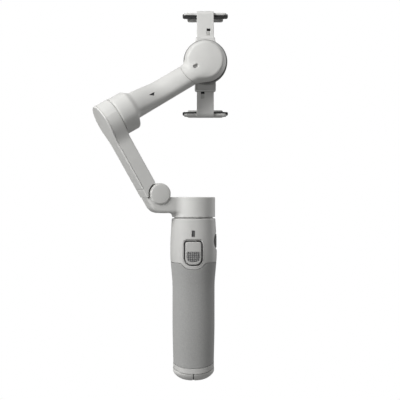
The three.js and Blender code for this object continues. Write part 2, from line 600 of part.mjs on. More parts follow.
// Built in the object's own axes. The tilt motor's frame gives the rotor housing its place, and the
// arm runs from there to the side of the roll motor.
function buildUpperArm(group, tiltFrame) {
  const inTilt = (body) => body.transform(tiltFrame.elements);
  const start = new THREE.Vector3(6.5, 0, 2.6).applyMatrix4(tiltFrame);
  const end = new THREE.Vector3(ROLL.x, 7.4, ROLL.z);
  const along = end.clone().sub(start);
  const length = along.length();
  along.normalize();
  const across = new THREE.Vector3().crossVectors(Y, along).normalize();
  const deep = new THREE.Vector3().crossVectors(along, across);
  const tubeFrame = new THREE.Matrix4().makeBasis(across, deep, along).setPosition(start);
  const inTube = (body) => body.transform(tubeFrame.elements);

  const housing = inTilt(domed(ROTOR.radius, ROTOR.low, ROTOR.high, 1.8, "X", [0, 0, 0]));
  const beforeMotor = inTilt(box(ROTOR.low, 200, -60, 60, -60, 60));
  const motorSpace = inTilt(disc(ROTOR.cavity, 0, ROTOR.high - 1.7, "X", [0, 0, 0]));
  const endSpace = (gap) => disc(TUBE_SEAM + gap, -60, 60, "Y", [ROLL.x, 0, ROLL.z], 64);
  const stops = [-4, 4, 13, 22, 31, 40, length - 10];
  const bore = armBar(tubeFrame, 1.7, [13, 22, 31, 40, length - 8]);
  const { along: notchAt, across: notchAcross, long, wide, depth } = TUBE_NOTCH;
  const [nearFront, farFront] = [-0.5, 0.5].map((end) => armFront(notchAt + end * long, notchAcross, 0));
  const lean = (Math.atan2(farFront - nearFront, long) * 180) / Math.PI;
  const notch = inTube(
    box(-wide / 2, wide / 2, -8, depth, -long / 2, long / 2)
      .rotate([-lean, 0, 0])
      .translate([notchAcross, (nearFront + farFront) / 2, notchAt]),
  );
  const bar = armBar(tubeFrame, 0, stops);
  const tubeBody = cut(
    union(housing, bar.intersect(beforeMotor)),
    motorSpace, cut(bore, inTilt(box(-20, ROTOR.high - 1.7, -30, 30, -30, 30))), notch, endSpace(0),
  );
  part(group, "upper_arm_tube", tubeBody, material(SHELL_GREY, 0.5));
  part(group, "tilt_rotor_ring", inTilt(tube(11.6, ROTOR.cavity - GAP, 3.4, 10.6, "X", [0, 0, 0])),
    material(0x77797c, 0.4, 0.8));

  // The end shell: the front half of the roll motor with a short neck for the arm.
  const { x, z, radius, face, back } = ROLL;
  const roll = [x, 0, z];
  const edge = 3.4;
  const profile = [[0, face - 0.8], [7, face - 0.6]];
  for (let i = 0; i <= 3; i++) {
    const turn = (i / 3) * (Math.PI / 2);
    profile.push([radius - edge + edge * Math.sin(turn), face + edge - edge * Math.cos(turn)]);
  }
  profile.push([radius, back], [0, back]);
  const neck = bar.intersect(endSpace(-0.15)).intersect(box(-60, 60, -60, back, 0, 300));
  const sensorAt = [SENSOR.across, length - SENSOR.beforeEnd];
  const endShell = cut(
    union(lathe(profile, "Y", roll), neck),
    disc(radius - 1.8, face + 1.8, 30, "Y", roll),
    bore, oval(tubeFrame, sensorAt, 1.1, 1.75, SENSOR.front - 3, SENSOR.front + 1.25),
  );
  part(group, "upper_arm_end_shell", endShell, material(SHELL_GREY, 0.5));
  const sensorWindow = oval(tubeFrame, sensorAt, 0.8, 1.45, SENSOR.front, SENSOR.front + 0.95);
  part(group, "sensor_window", sensorWindow, material(0x5a5a58, 0.3));

  const stator = union(
    disc(radius - 2.1, 5.6, 8.2, "Y", roll),
    disc(3, 5.6, 14.4, "Y", roll, SMALL_ROUND),
    disc(11, 9.6, 14.0, "Y", roll),
  );
  part(group, "roll_stator", stator, material(0x8a5a33, 0.5, 0.6));
}

// An oval plug let into the arm's front, in the arm's frame: its place across and along, its
// half-width and half-length, and how deep its two ends lie.
function oval(tubeFrame, [across, along], halfWide, halfLong, low, high) {
  const shape = roundedRectangle(-halfWide, halfWide, -halfLong, halfLong, halfWide - 0.01);
  const options = { depth: high - low, bevelEnabled: false, curveSegments: 3 };
  const geometry = new THREE.ExtrudeGeometry(shape, options);
  geometry.applyMatrix4(new THREE.Matrix4().makeBasis(X, Z, Y.clone().negate()));
  geometry.translate(across, high, along);
  return solid(geometry.applyMatrix4(tubeFrame));
}

// ---- roll rotor and clamp -----------------------------------------------------------------------
function buildClamp(group) {
  const { x, z, radius } = ROLL;
  const roll = [x, 0, z];
  const edge = 0.8;
  const canOutline = [
    [0, CAN.low], [radius, CAN.low], [radius, CAN.high - edge], [radius - edge, CAN.high], [0, CAN.high],
  ];
  const can = cut(lathe(canOutline, "Y", roll), disc(13.2, 0, 14.8, "Y", roll));
  part(group, "roll_rotor_can", can, material(0xb9b8b3, 0.5));
  part(group, "roll_rotor_ring", tube(11.6, 12.9, 9.6, 14.4, "Y", roll), material(0x77797c, 0.4, 0.8));

  const { half, low, high, front, back } = BRACKET;
  const bracket = cut(
    prismY(roundedRectangle(x - half, x + half, low, high, 1.4), front, back, 0.4),
    box(x - STRAP.half - GAP, x + STRAP.half + GAP, STRAP.front - GAP, STRAP.back + GAP, low - 1, high + 1),
    box(x - 7.3, x + 7.3, back - 0.7, back + 1, z - 20.3, z + 20.3),
  );
  part(group, "clamp_bracket", bracket, material(0xc4c3be, 0.5));
  const pad = prismY(roundedRectangle(x - 7, x + 7, z - 20, z + 20, 1.2), back - 0.4, PHONE_PLANE, 0.3);
  part(group, "clamp_back_pad", pad, material(0x3b3b3b, 0.9));

  for (const [name, up] of [["upper", 1], ["lower", -1]]) {
    const level = (height) => z + up * height;
    const span = (x0, x1, y0, y1, h0, h1) =>
      box(x0, x1, y0, y1, Math.min(level(h0), level(h1)), Math.max(level(h0), level(h1)));
    const { grip, bar, outer, padHalf, lip } = JAW;
    const jawFloor = grip + JAW.pad + GAP;
    const slotX = x + (up > 0 ? 2.6 : -2.1);
    const jaw = cut(
      union(
        span(x - STRAP.half, x + STRAP.half, STRAP.front, STRAP.back, STRAP.reach, outer - 0.5),
        prismY(
          roundedRectangle(x - JAW.half, x + JAW.half, Math.min(level(jawFloor), level(bar)),
            Math.max(level(jawFloor), level(bar)), 0.8),
          PHONE_PLANE - 1.2, lip, 0.5,
        ),
        span(x - STRAP.half, x + STRAP.half, STRAP.front, PHONE_PLANE + 2, jawFloor, outer - 0.2),
        span(x - JAW.half + 3, x + JAW.half - 3, lip - 1.6, lip - 0.2, grip - 2.4, bar - 0.6),
      ),
      span(slotX - 1.5, slotX + 1.5, STRAP.front - 1, STRAP.front + 1.1, 22.9, 28.5),
    );
    part(group, `${name}_jaw`, jaw, material(0xc4c3be, 0.5));
    const liner = prismY(
      roundedRectangle(x - padHalf, x + padHalf, Math.min(level(grip), level(grip + JAW.pad)),
        Math.max(level(grip), level(grip + JAW.pad)), 0.5),
      PHONE_PLANE - 0.8, lip - 2, 0.3,
    );
    part(group, `${name}_jaw_pad`, liner, material(DARK, 0.9));
  }
}

// ---- assembly -----------------------------------------------------------------------------------
buildHandle();
buildControls();
buildTripod();
buildRod();

const swing = new THREE.Group(); // turned about the pan axis; X runs from the fold hinge to the axis
swing.rotation.z = radians(SWING);
object.add(swing);
buildPan(swing, [-FOLD.radius, 0, FOLD.z]);

const arm = new THREE.Group(); // origin on the fold axis, Z up along the arm
arm.position.set(-FOLD.radius, 0, FOLD.z);
arm.rotation.y = -radians(ARM_LEAN);
swing.add(arm);
buildLowerArm(arm);

object.updateMatrixWorld(true);
const tiltFrame = arm.matrixWorld.clone().multiply(new THREE.Matrix4().makeTranslation(0, 0, ARM.length));
buildUpperArm(object, tiltFrame);
buildClamp(object);

export default object;
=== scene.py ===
import json
import math

import bpy
import numpy as np
from mathutils import Matrix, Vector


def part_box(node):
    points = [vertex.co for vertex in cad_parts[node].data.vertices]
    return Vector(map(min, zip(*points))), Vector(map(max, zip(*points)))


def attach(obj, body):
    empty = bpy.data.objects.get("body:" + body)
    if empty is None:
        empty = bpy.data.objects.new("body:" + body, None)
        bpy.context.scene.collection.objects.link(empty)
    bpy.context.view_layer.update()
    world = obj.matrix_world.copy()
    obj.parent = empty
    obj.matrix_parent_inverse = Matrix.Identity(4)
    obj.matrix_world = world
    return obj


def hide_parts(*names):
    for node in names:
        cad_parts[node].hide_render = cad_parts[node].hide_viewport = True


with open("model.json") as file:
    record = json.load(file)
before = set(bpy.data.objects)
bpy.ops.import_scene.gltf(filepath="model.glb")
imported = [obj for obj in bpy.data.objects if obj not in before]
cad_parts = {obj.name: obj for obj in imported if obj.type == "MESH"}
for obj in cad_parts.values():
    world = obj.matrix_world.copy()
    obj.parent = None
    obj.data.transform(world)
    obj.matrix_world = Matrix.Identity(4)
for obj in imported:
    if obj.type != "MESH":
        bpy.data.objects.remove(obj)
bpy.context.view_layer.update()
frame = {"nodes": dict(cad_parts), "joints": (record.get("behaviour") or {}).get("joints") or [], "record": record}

MM = 0.001
GAP = 0.1  # half the fine seam between two mouldings
SHARP = math.radians(38)  # faces that meet more steeply than this keep a real edge
UP = np.array([0.0, 0.0, 1.0])
BACK = np.array([0.0, 1.0, 0.0])


# ---- frames of the moving parts ----
class Axes:
    """An origin and three directions in the object's axes, in millimetres."""

    def __init__(self, origin, x, y, z):
        self.origin = np.array(origin, float)
        self.rows = np.array([x, y, z], float)

    def of(self, x, y, z):
        """The place of points in this frame."""
        away = [value - start for value, start in zip((x, y, z), self.origin)]
        return [sum(part * value for part, value in zip(row, away)) for row in self.rows]

    def at(self, *place):
        """The place in the object's axes of a point given in this frame."""
        return self.origin + self.rows.T @ np.array(place, float)

    def matrix(self):
        """This frame as Blender places an object, in metres."""
        whole = np.eye(4)
        whole[:3, :3] = self.rows.T
        whole[:3, 3] = self.origin * MM
        return Matrix(whole.tolist())


def unit(vector):
    return vector / np.linalg.norm(vector)


JOINTS = {joint["name"]: joint for joint in frame["joints"]}
BODY_OF = {node: body for body, nodes in frame["record"]["behaviour"]["bodies"].items() for node in nodes}


def pivot(joint):
    return np.array(JOINTS[joint]["pos_m"]) / MM


def axis(joint):
    return unit(np.array(JOINTS[joint]["axis"], float))


def span(node):
    """The lowest and highest corner of a CAD node, in millimetres."""
    return [np.array(corner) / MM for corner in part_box(node)]


def middle(box, side):
    """The middle of a box along X, Y or Z, which are 0, 1 and 2."""
    return (box[0][side] + box[1][side]) / 2


WORLD = Axes([0, 0, 0], [1, 0, 0], BACK, UP)
HINGE = Axes(pivot("arm_fold"), np.cross(axis("arm_fold"), UP), axis("arm_fold"), UP)
ARM_UP = np.cross(axis("tilt_turn"), axis("arm_fold"))
ARM = Axes(pivot("arm_fold"), axis("tilt_turn"), axis("arm_fold"), ARM_UP)
TILT = Axes(pivot("tilt_turn"), axis("tilt_turn"), axis("arm_fold"), ARM_UP)
ROLL = Axes(pivot("roll_turn"), [1, 0, 0], BACK, UP)
TUBE_START = TILT.at(6.5, 0, 2.6)
TUBE_END = ROLL.at(0, 7.4, 0)
TUBE_LENGTH = np.linalg.norm(TUBE_END - TUBE_START)
ALONG = unit(TUBE_END - TUBE_START)
ACROSS = unit(np.cross(BACK, ALONG))
TUBE = Axes(TUBE_START, ACROSS, np.cross(ALONG, ACROSS), ALONG)


# ---- fields ----
def smoothstep(value, low, high):
    share = np.clip((value - low) / (high - low), 0, 1)
    return share * share * (3 - 2 * share)


def join(a, b, soft=0.0):
    """Both solids as one, with a fillet of about this size where they meet."""
    if not soft:
        return np.minimum(a, b)
    share = np.clip(0.5 + 0.5 * (b - a) / soft, 0, 1)
    return b + (a - b) * share - soft * share * (1 - share)


def keep(a, b, soft=0.0):
    """What is inside both fields, with its edge rounded off by about this size."""
    return -join(-a, -b, soft)


def cut(a, b, soft=0.0):
    """The first solid without the second."""
    return keep(a, -b, soft)


def rectangle(a, b, half_a, half_b, corner):
    """A rectangle with round corners; the corner may differ from point to point."""
    over_a = np.abs(a) - half_a + corner
    over_b = np.abs(b) - half_b + corner
    outside = np.hypot(np.maximum(over_a, 0), np.maximum(over_b, 0))
    return np.minimum(np.maximum(over_a, over_b), 0) + outside - corner


def slab(flat, height, low, high, edge=0.0):
    """A flat outline raised from low to high, with edges rounded by this radius."""
    over_flat = flat + edge
    over_height = np.abs(height - (low + high) / 2) - (high - low) / 2 + edge
    outside = np.hypot(np.maximum(over_flat, 0), np.maximum(over_height, 0))
    return np.minimum(np.maximum(over_flat, over_height), 0) + outside - edge


def block(a, b, c, edge=0.0):
    """A box from three (value, low, high) spans, with rounded edges."""
    over = [np.abs(value - (low + high) / 2) - (high - low) / 2 + edge for value, low, high in (a, b, c)]
    inside = np.minimum(np.maximum(np.maximum(over[0], over[1]), over[2]), 0)
    return inside + np.sqrt(sum(np.maximum(value, 0) ** 2 for value in over)) - edge


# ---- meshing ----
def crossing_points(field, start, axis_step, step):
    """Where the field changes sign along each grid edge, found by halving and then in proportion."""
    low = np.zeros(len(start))
    high = np.ones(len(start))
    offset = np.zeros(3)
    offset[axis_step] = step
    at_low = field(*start.T)
    for _ in range(4):
        half = (low + high) / 2
        value = field(*(start + half[:, None] * offset).T)
        same = (value < 0) == (at_low < 0)
        low = np.where(same, half, low)
        high = np.where(same, high, half)
    first = field(*(start + low[:, None] * offset).T)
    last = field(*(start + high[:, None] * offset).T)
    apart = first - last
    share = np.where(np.abs(apart) > 1e-12, first / np.where(apart == 0, 1, apart), 0.5)
    place = low + (high - low) * np.clip(share, 0, 1)
    return start + place[:, None] * offset


def field_normals(field, points, reach=0.004):
    slopes = np.stack(
        [field(*(points + side).T) - field(*(points - side).T) for side in np.eye(3) * reach], axis=1
    )
    return slopes / np.maximum(np.linalg.norm(slopes, axis=1, keepdims=True), 1e-12)


def contour(field, low, high, step):
    """The surface where a field is zero, as corners and four-sided faces. Each grid cell that it
    crosses gets one corner, at the point that fits the surface's tangent planes best, so that both
    creases and round stretches come out true."""
    lines = [np.arange(low[k], high[k] + step, step) for k in range(3)]
    shape = tuple(len(line) for line in lines)
    origin = np.array([line[0] for line in lines])
    value = np.broadcast_to(
        field(lines[0][:, None, None], lines[1][None, :, None], lines[2][None, None, :]), shape
    )
    inside = value < 0
    cells, points, normals, turned = [], [], [], []
    for k in range(3):
        first = [slice(None)] * 3
        second = [slice(None)] * 3
        first[k] = slice(None, -1)
        second[k] = slice(1, None)
        starts = np.argwhere(inside[tuple(first)] != inside[tuple(second)])
        u, v = (k + 1) % 3, (k + 2) % 3
        starts = starts[(starts[:, u] > 0) & (starts[:, v] > 0)]
        point = crossing_points(field, origin + step * starts, k, step)
        step_u = np.eye(3, dtype=int)[u]
        step_v = np.eye(3, dtype=int)[v]
        around = [starts - step_u - step_v, starts - step_v, starts, starts - step_u]
        cells.append(np.stack([np.ravel_multi_index(cell.T, shape) for cell in around], axis=1))
        points.append(point)
        normals.append(field_normals(field, point))
        turned.append(~inside[tuple(starts.T)])
    cells, points, normals = np.concatenate(cells), np.concatenate(points), np.concatenate(normals)
    turned = np.concatenate(turned)
    names, place = np.unique(cells, return_inverse=True)
    place = place.reshape(cells.shape)

    def total(weights):
        return sum(np.bincount(place[:, side], weights, len(names)) for side in range(4))

    count = total(np.ones(len(points)))
    mean = np.stack([total(points[:, k]) for k in range(3)], axis=1) / count[:, None]
    square = np.empty((len(names), 3, 3))
    for i in range(3):
        for j in range(3):
            square[:, i, j] = total(normals[:, i] * normals[:, j])
    reach = np.sum(normals * points, axis=1)
    pull = np.stack([total(normals[:, k] * reach) for k in range(3)], axis=1)
    pull -= np.einsum("nij,nj->ni", square, mean)
    moved = np.linalg.solve(square + 0.04 * np.eye(3), pull[:, :, None])[:, :, 0]
    corner = origin + step * np.stack(np.unravel_index(names, shape), axis=1)
    places = np.clip(mean + moved, corner, corner + step)
    faces = np.where(turned[:, None], place[:, ::-1], place)
    return places, faces


def new_piece(name, places, faces, materials):
    """A mesh object from corners in millimetres, smooth apart from its real edges."""
    mesh = bpy.data.meshes.new(name)
    mesh.from_pydata((np.asarray(places) * MM).tolist(), [], [list(face) for face in faces])
    for material in materials:
        mesh.materials.append(material)
    mesh.validate()
    mesh.shade_smooth()
    mesh.set_sharp_from_angle(angle=SHARP)
    piece = bpy.data.objects.new(name, mesh)
    bpy.context.scene.collection.objects.link(piece)
    return piece


def stand_for(piece, node):
    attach(piece, BODY_OF[node])
    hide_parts(node)
    return piece


def mould(node, field, materials, step=0.5, room=1.0):
    """Meshes a field inside the box of the CAD node that it stands for."""
    low, high = span(node)
    places, faces = contour(field, low - room, high + room, step)
    return stand_for(new_piece(node + "_moulding", places, faces, materials), node)


def turn(node, outline, materials, axes=WORLD, height="z", sides=96, ribs=None, edge=0.15):
    """Revolves [radius, height] points about an axis of a frame. The outline starts and ends on the
    axis, or closes on itself. ribs gives each angle a share of the radius to take off."""
    if outline[0][0] > 0:
        outline = outline[:-1]
    order = {"x": (1, 2, 0), "y": (2, 0, 1), "z": (0, 1, 2)}[height]
    angles = 2 * math.pi * np.arange(sides) / sides
    places, rows = [], []
    for radius, level in outline:
        row = []
        for angle in angles if radius > 0 else angles[:1]:
            depth = ribs(angle, radius, level) if ribs and radius > 0 else 0
            flat = np.zeros(3)
            flat[order[0]] = (radius - depth) * math.cos(angle)
            flat[order[1]] = (radius - depth) * math.sin(angle)
            flat[order[2]] = level
            row.append(len(places))
            places.append(axes.at(*flat))
        rows.append(row if radius > 0 else row * sides)
    closed = outline[0][0] > 0
    pairs = list(zip(rows, rows[1:] + rows[:1])) if closed else list(zip(rows, rows[1:]))
    faces = []
    for lower, upper in pairs:
        for i in range(sides):
            j = (i + 1) % sides
            face = [lower[i], lower[j], upper[j], upper[i]]
            faces.append(list(dict.fromkeys(face)))
    piece = new_piece(node + "_turned", places, [face for face in faces if len(face) > 2], materials)
    face_outwards(piece)
    if edge:
        soften(piece, edge)
    return stand_for(piece, node)


def face_outwards(piece):
    """Turns a closed mesh whose faces point inwards."""
    mesh = piece.data
    mesh.calc_loop_triangles()
    corners = np.array([tuple(t.vertices) for t in mesh.loop_triangles])
    co = np.array([tuple(v.co) for v in mesh.vertices])
    a, b, c = (co[corners[:, k]] for k in range(3))
    if np.sum(a * np.cross(b, c)) < 0:
        mesh.flip_normals()


def soften(piece, width, segments=2):
    """A fine bevel on a piece's real edges."""
    bevel = piece.modifiers.new("edge", "BEVEL")
    bevel.width = width * MM
    bevel.segments = segments
    bevel.limit_method = "ANGLE"
    bevel.angle_limit = SHARP
    bevel.harden_normals = True


def colour_in(piece, chosen, index):
    """Gives the faces whose centres (in millimetres, in the object's axes) are chosen another of the
    piece's materials."""
    mesh = piece.data
    centres = np.empty(len(mesh.polygons) * 3)
    mesh.polygons.foreach_get("center", centres)
    centres = centres.reshape(-1, 3) / MM
    slots = np.empty(len(mesh.polygons), np.int32)
    mesh.polygons.foreach_get("material_index", slots)
    slots[chosen(*centres.T)] = index
    mesh.polygons.foreach_set("material_index", slots)


# ---- materials ----
class Recipe:
    """Builds one procedural material round a Principled shader."""

    def __init__(self, name, colour, roughness, metallic=0.0, specular=0.5, sheen=0.0, coat=0.0):
        self.material = bpy.data.materials.new(name)
        self.material.use_nodes = True
        self.material.diffuse_color = (*colour, 1)
        self.nodes = self.material.node_tree.nodes
        self.links = self.material.node_tree.links
        self.shader = self.nodes["Principled BSDF"]
        self.colour = colour
        self.roughness = roughness
        self.shader.inputs["Base Color"].default_value = (*colour, 1)
        self.shader.inputs["Roughness"].default_value = roughness
        self.shader.inputs["Metallic"].default_value = metallic
        self.shader.inputs["Specular IOR Level"].default_value = specular
        self.shader.inputs["Sheen Weight"].default_value = sheen
        self.shader.inputs["Coat Weight"].default_value = coat
        place = self.nodes.new("ShaderNodeTexCoord")
        self.place = place.outputs["Object"]
        self.height = None

    def stretched(self, scale, rotation=(0, 0, 0)):
        mapping = self.nodes.new("ShaderNodeMapping")
        mapping.inputs["Scale"].default_value = scale
        mapping.inputs["Rotation"].default_value = rotation
        self.links.new(self.place, mapping.inputs["Vector"])
        self.place = mapping.outputs["Vector"]
        return self

    def noise(self, size_mm, detail=2.0, rough=0.5):
        """Noise whose features are about this many millimetres across."""
        texture = self.nodes.new("ShaderNodeTexNoise")
        texture.inputs["Scale"].default_value = 1 / (size_mm * MM)
        texture.inputs["Detail"].default_value = detail
        texture.inputs["Roughness"].default_value = rough
        self.links.new(self.place, texture.inputs["Vector"])
        return texture.outputs["Fac"]

    def cells(self, size_mm, feature="F1"):
        texture = self.nodes.new("ShaderNodeTexVoronoi")
        texture.feature = feature
        texture.inputs["Scale"].default_value = 1 / (size_mm * MM)
        self.links.new(self.place, texture.inputs["Vector"])
        return texture.outputs["Distance"]

    def ranged(self, value, low, high, start=0.3, end=0.7):
        mapped = self.nodes.new("ShaderNodeMapRange")
        mapped.inputs["From Min"].default_value = start
        mapped.inputs["From Max"].default_value = end
        mapped.inputs["To Min"].default_value = low
        mapped.inputs["To Max"].default_value = high
        self.links.new(value, mapped.inputs["Value"])
        return mapped.outputs["Result"]

    def shade(self, value, darker, lighter):
        """Varies the base colour with a value from 0 to 1, between two multiples of it."""
        mix = self.nodes.new("ShaderNodeMix")
        mix.data_type = "RGBA"
        mix.inputs[6].default_value = (*[min(1, part * darker) for part in self.colour], 1)
        mix.inputs[7].default_value = (*[min(1, part * lighter) for part in self.colour], 1)
        self.links.new(value, mix.inputs[0])
        self.tint = mix.outputs[2]
        self.links.new(self.tint, self.shader.inputs["Base Color"])
        return self

    def worn(self, strength, lighter):
        """Lightens the convex edges slightly, as handling does."""
        shape = self.nodes.new("ShaderNodeNewGeometry")
        edge = self.ranged(shape.outputs["Pointiness"], 0, strength, 0.53, 0.62)
        mix = self.nodes.new("ShaderNodeMix")
        mix.data_type = "RGBA"
        self.links.new(edge, mix.inputs[0])
        self.links.new(self.tint, mix.inputs[6])
        mix.inputs[7].default_value = (*[min(1, part * lighter) for part in self.colour], 1)
        self.links.new(mix.outputs[2], self.shader.inputs["Base Color"])
        return self

    def rough(self, value, spread):
        low, high = self.roughness - spread, min(1, self.roughness + spread)
        self.links.new(self.ranged(value, low, high), self.shader.inputs["Roughness"])
        return self

    def bump(self, value, depth_mm, strength=1.0):
        node = self.nodes.new("ShaderNodeBump")
        node.inputs["Strength"].default_value = strength
        node.inputs["Distance"].default_value = depth_mm * MM
        self.links.new(value, node.inputs["Height"])
        if self.height is not None:
            self.links.new(self.height, node.inputs["Normal"])
        self.height = node.outputs["Normal"]
        self.links.new(self.height, self.shader.inputs["Normal"])
        return self


def moulded_plastic(name, colour, roughness=0.5, grain=0.006, specular=0.3):
    """Satin moulded plastic: spark-eroded grain, slow mottling, faintly polished edges."""
    recipe = Recipe(name, colour, roughness, specular=specular)
    recipe.shade(recipe.ranged(recipe.noise(9, 3), 0, 1), 0.975, 1.02)
    recipe.worn(0.5, 1.08)
    recipe.rough(recipe.noise(1.6, 3), 0.05)
    recipe.bump(recipe.noise(0.28, 3, 0.6), grain)
    recipe.bump(recipe.noise(26, 1), 0.05, 0.35)
    return recipe.material


def skin_rubber(name, colour, roughness=0.8):
    """Soft grip: a close pebbled skin with a dusty sheen."""
    recipe = Recipe(name, colour, roughness, specular=0.25, sheen=0.25)
    recipe.shader.inputs["Sheen Roughness"].default_value = 0.6
    recipe.shade(recipe.ranged(recipe.noise(1.1, 4, 0.65), 0, 1), 0.93, 1.06)
    recipe.worn(0.3, 1.12)
    recipe.rough(recipe.noise(3, 3), 0.06)
    recipe.bump(recipe.cells(0.55, "SMOOTH_F1"), 0.035, 0.7)
    recipe.bump(recipe.noise(0.2, 2), 0.008)
    return recipe.material


def brushed_metal(name, colour, roughness, scale):
    """Drawn or brushed metal, its lines stretched one way."""
    recipe = Recipe(name, colour, roughness, metallic=1.0)
    recipe.stretched(scale)
    recipe.shade(recipe.ranged(recipe.noise(0.5, 4), 0, 1), 0.9, 1.06)
    recipe.rough(recipe.noise(0.35, 4), 0.09)
    recipe.bump(recipe.noise(0.25, 3), 0.004, 0.6)
    return recipe.material


def wound_copper(name):
    recipe = Recipe(name, (0.45, 0.19, 0.08), 0.35, metallic=1.0)
    wave = recipe.nodes.new("ShaderNodeTexWave")
    wave.bands_direction = "DIAGONAL"
    wave.inputs["Scale"].default_value = 500
    wave.inputs["Distortion"].default_value = 2
    recipe.links.new(recipe.place, wave.inputs["Vector"])
    recipe.shade(wave.outputs["Fac"], 0.55, 1.1)
    recipe.bump(wave.outputs["Fac"], 0.15, 0.7)
    return recipe.material


def circuit_mask(name):
    recipe = Recipe(name, (0.02, 0.11, 0.05), 0.4, specular=0.5)
    tracks = recipe.nodes.new("ShaderNodeTexBrick")
    tracks.inputs["Scale"].default_value = 260
    tracks.inputs["Mortar Size"].default_value = 0.06
    recipe.links.new(recipe.place, tracks.inputs["Vector"])
    recipe.shade(tracks.outputs["Fac"], 0.8, 1.7)
    recipe.bump(tracks.outputs["Fac"], 0.05)
    return recipe.material


def smooth_window(name, colour, roughness=0.15):
    """A small clear-over-dark lens."""
    recipe = Recipe(name, colour, roughness, specular=0.5, coat=0.6)
    recipe.shade(recipe.ranged(recipe.noise(1.5, 2), 0, 1), 0.9, 1.15)
    recipe.rough(recipe.noise(0.8, 2), 0.03)
    recipe.bump(recipe.noise(0.3, 2), 0.002)
    return recipe.material


SHELL = moulded_plastic("satin_shell", (0.60, 0.598, 0.58), 0.46)
BODY = moulded_plastic("satin_handle", (0.49, 0.488, 0.474), 0.46)
CLAMP = moulded_plastic("satin_clamp", (0.62, 0.618, 0.602), 0.5)
CAN = moulded_plastic("satin_rotor_can", (0.20, 0.20, 0.192), 0.5)
CONTROL = moulded_plastic("satin_control", (0.44, 0.438, 0.425), 0.45)
# Painted shade: a darker copy of the trigger's plastic for its field of squares.
TREAD_PAINTED_SHADE = moulded_plastic("trigger_tread_painted_shade", (0.33, 0.33, 0.32), 0.55)
RECORD = moulded_plastic("record_red", (0.45, 0.06, 0.045), 0.42)
# Dark plastic for the joystick base, also used as painted shade in the trigger's gap and the clamp's slots.
DARK_PLASTIC_AND_PAINTED_SHADE = moulded_plastic("dark_plastic", (0.028, 0.028, 0.029), 0.55, 0.01)
DIAL = moulded_plastic("dial_plastic", (0.26, 0.26, 0.255), 0.55, 0.01)
# Dark frame plastic for the inner frame and core tube, also used as painted shade in the trigger's grooves and
# sides and in the arm's notch.
FRAME_PLASTIC_AND_PAINTED_SHADE = moulded_plastic("frame_plastic_and_painted_shade", (0.10, 0.10, 0.105), 0.6, 0.012)
GRIP = skin_rubber("grip_rubber", (0.31, 0.31, 0.303))
PAD = skin_rubber("pad_rubber", (0.022, 0.022, 0.023), 0.85)
STEEL = brushed_metal("drawn_steel", (0.56, 0.57, 0.58), 0.3, (1, 1, 0.05))
PIN_STEEL = brushed_metal("ground_pin", (0.6, 0.61, 0.62), 0.25, (1, 0.1, 1))
MAGNET = brushed_metal("magnet_steel", (0.2, 0.205, 0.215), 0.4, (0.3, 0.3, 1))
COPPER = wound_copper("copper_winding")
BOARD = circuit_mask("board_mask")
WRAP = smooth_window("battery_wrap", (0.03, 0.08, 0.16), 0.35)
WINDOW = smooth_window("status_lens", (0.10, 0.10, 0.10))
SENSOR = smooth_window("sensor_lens", (0.28, 0.28, 0.275), 0.25)


# ---- handle ----
SQUARE = 2.2  # how square the handle's section is; 2 is an ellipse
SHELL_WALL = 2.0
HANDLE_TOP = span("control_housing")[1][2] + 0.55
PLATE = span("pan_base_plate")
PLATE_WELL = PLATE[1][0] + 0.35
SPLIT = 92.4  # the housing meets the grip here at the sides
TONGUE = span("control_housing")[0][2]  # and here below the trigger
BASE_LINE = 12.1
FEET_LINE = 7.85
TRIGGER = span("trigger")
DIAL_BOX = span("side_dial")
DIAL_Z = middle(DIAL_BOX, 2)
STICK_Z = pivot("stick_up_down")[2]
SCOOP_X, SCOOP_RADIUS = 27.0, 11.1  # the axis of the hollow that a thumb reaches the dial through
STATUS = span("status_window")
STATUS_Z = middle(STATUS, 2)
TRIGGER_GAP = 0.75
BEZEL_RIM = 2.0
PANEL = span("control_panel")
PORT = span("usb_port")
PORT_Z = middle(PORT, 2)
BUTTON = span("record_button")  # the mode button is its mirror image
ROD_WELL = 11.1  # the radius of the shaft that the rod comes up through
PRESS_Z, PRESS_HALF = 100.3, 8.7  # the height where a finger's hollow is deepest, and its reach
TREAD_Z, TREAD_WIDE, TREAD_TALL = 97.5, 5.2, 3.9  # the trigger's field of squares
FOOT_FLAT, FOOT_ROUND, FOOT_TOP, FOOT_HIGH, FOOT_POWER = 7.5, 8.7, 7.0, 6.8, 1.55


def half_width(z):
    """Slim at the grip, fuller at the controls, closing in again towards the pan motor."""
    return (
        16
        + 0.6 * smoothstep(z, 8, 45)
        + 1.75 * smoothstep(z, 72, 100)
        - 1.25 * smoothstep(z, 104, 132)
    )


def handle(x, y, z):
    wide = half_width(z)
    front = wide + 1.2 * smoothstep(z, 60, 98) * (1 - smoothstep(z, 102, 134))
    deep = np.where(y < 0, front, wide)
    reach = ((np.abs(x) / wide) ** SQUARE + (np.abs(y) / deep) ** SQUARE) ** (1 / SQUARE)
    return (reach - 1) * wide


def above_split(x, y, z):
    """Negative above the line where housing and grip meet, which dips in a soft tongue in front."""
    reach = TRIGGER[0][2] - TONGUE
    tongue = np.maximum(trigger_outline(x, z, reach, 4.6), y)
    return join(SPLIT - z, tongue, 2.4)


def arch(x):
    """How far the joints round the base bow downwards at the front and the back."""
    return 1.35 * np.clip(1 - (x / 16.2) ** 2, 0, 1)


def joint_line(level, x):
    """The height of a joint round the base: it bows down in front and lifts at the two sides."""
    return level - arch(x) + 1.8 * np.clip(np.abs(x) / 16.2, 0, 1) ** 4


def trigger_outline(x, z, grow, lower=4.8, upper=1.7):
    up = z - middle(TRIGGER, 2)
    tall = (TRIGGER[1][2] - TRIGGER[0][2]) / 2
    corner = np.where(up < 0, lower, upper) + grow
    return rectangle(x, up, TRIGGER[1][0] + grow, tall + grow, corner)


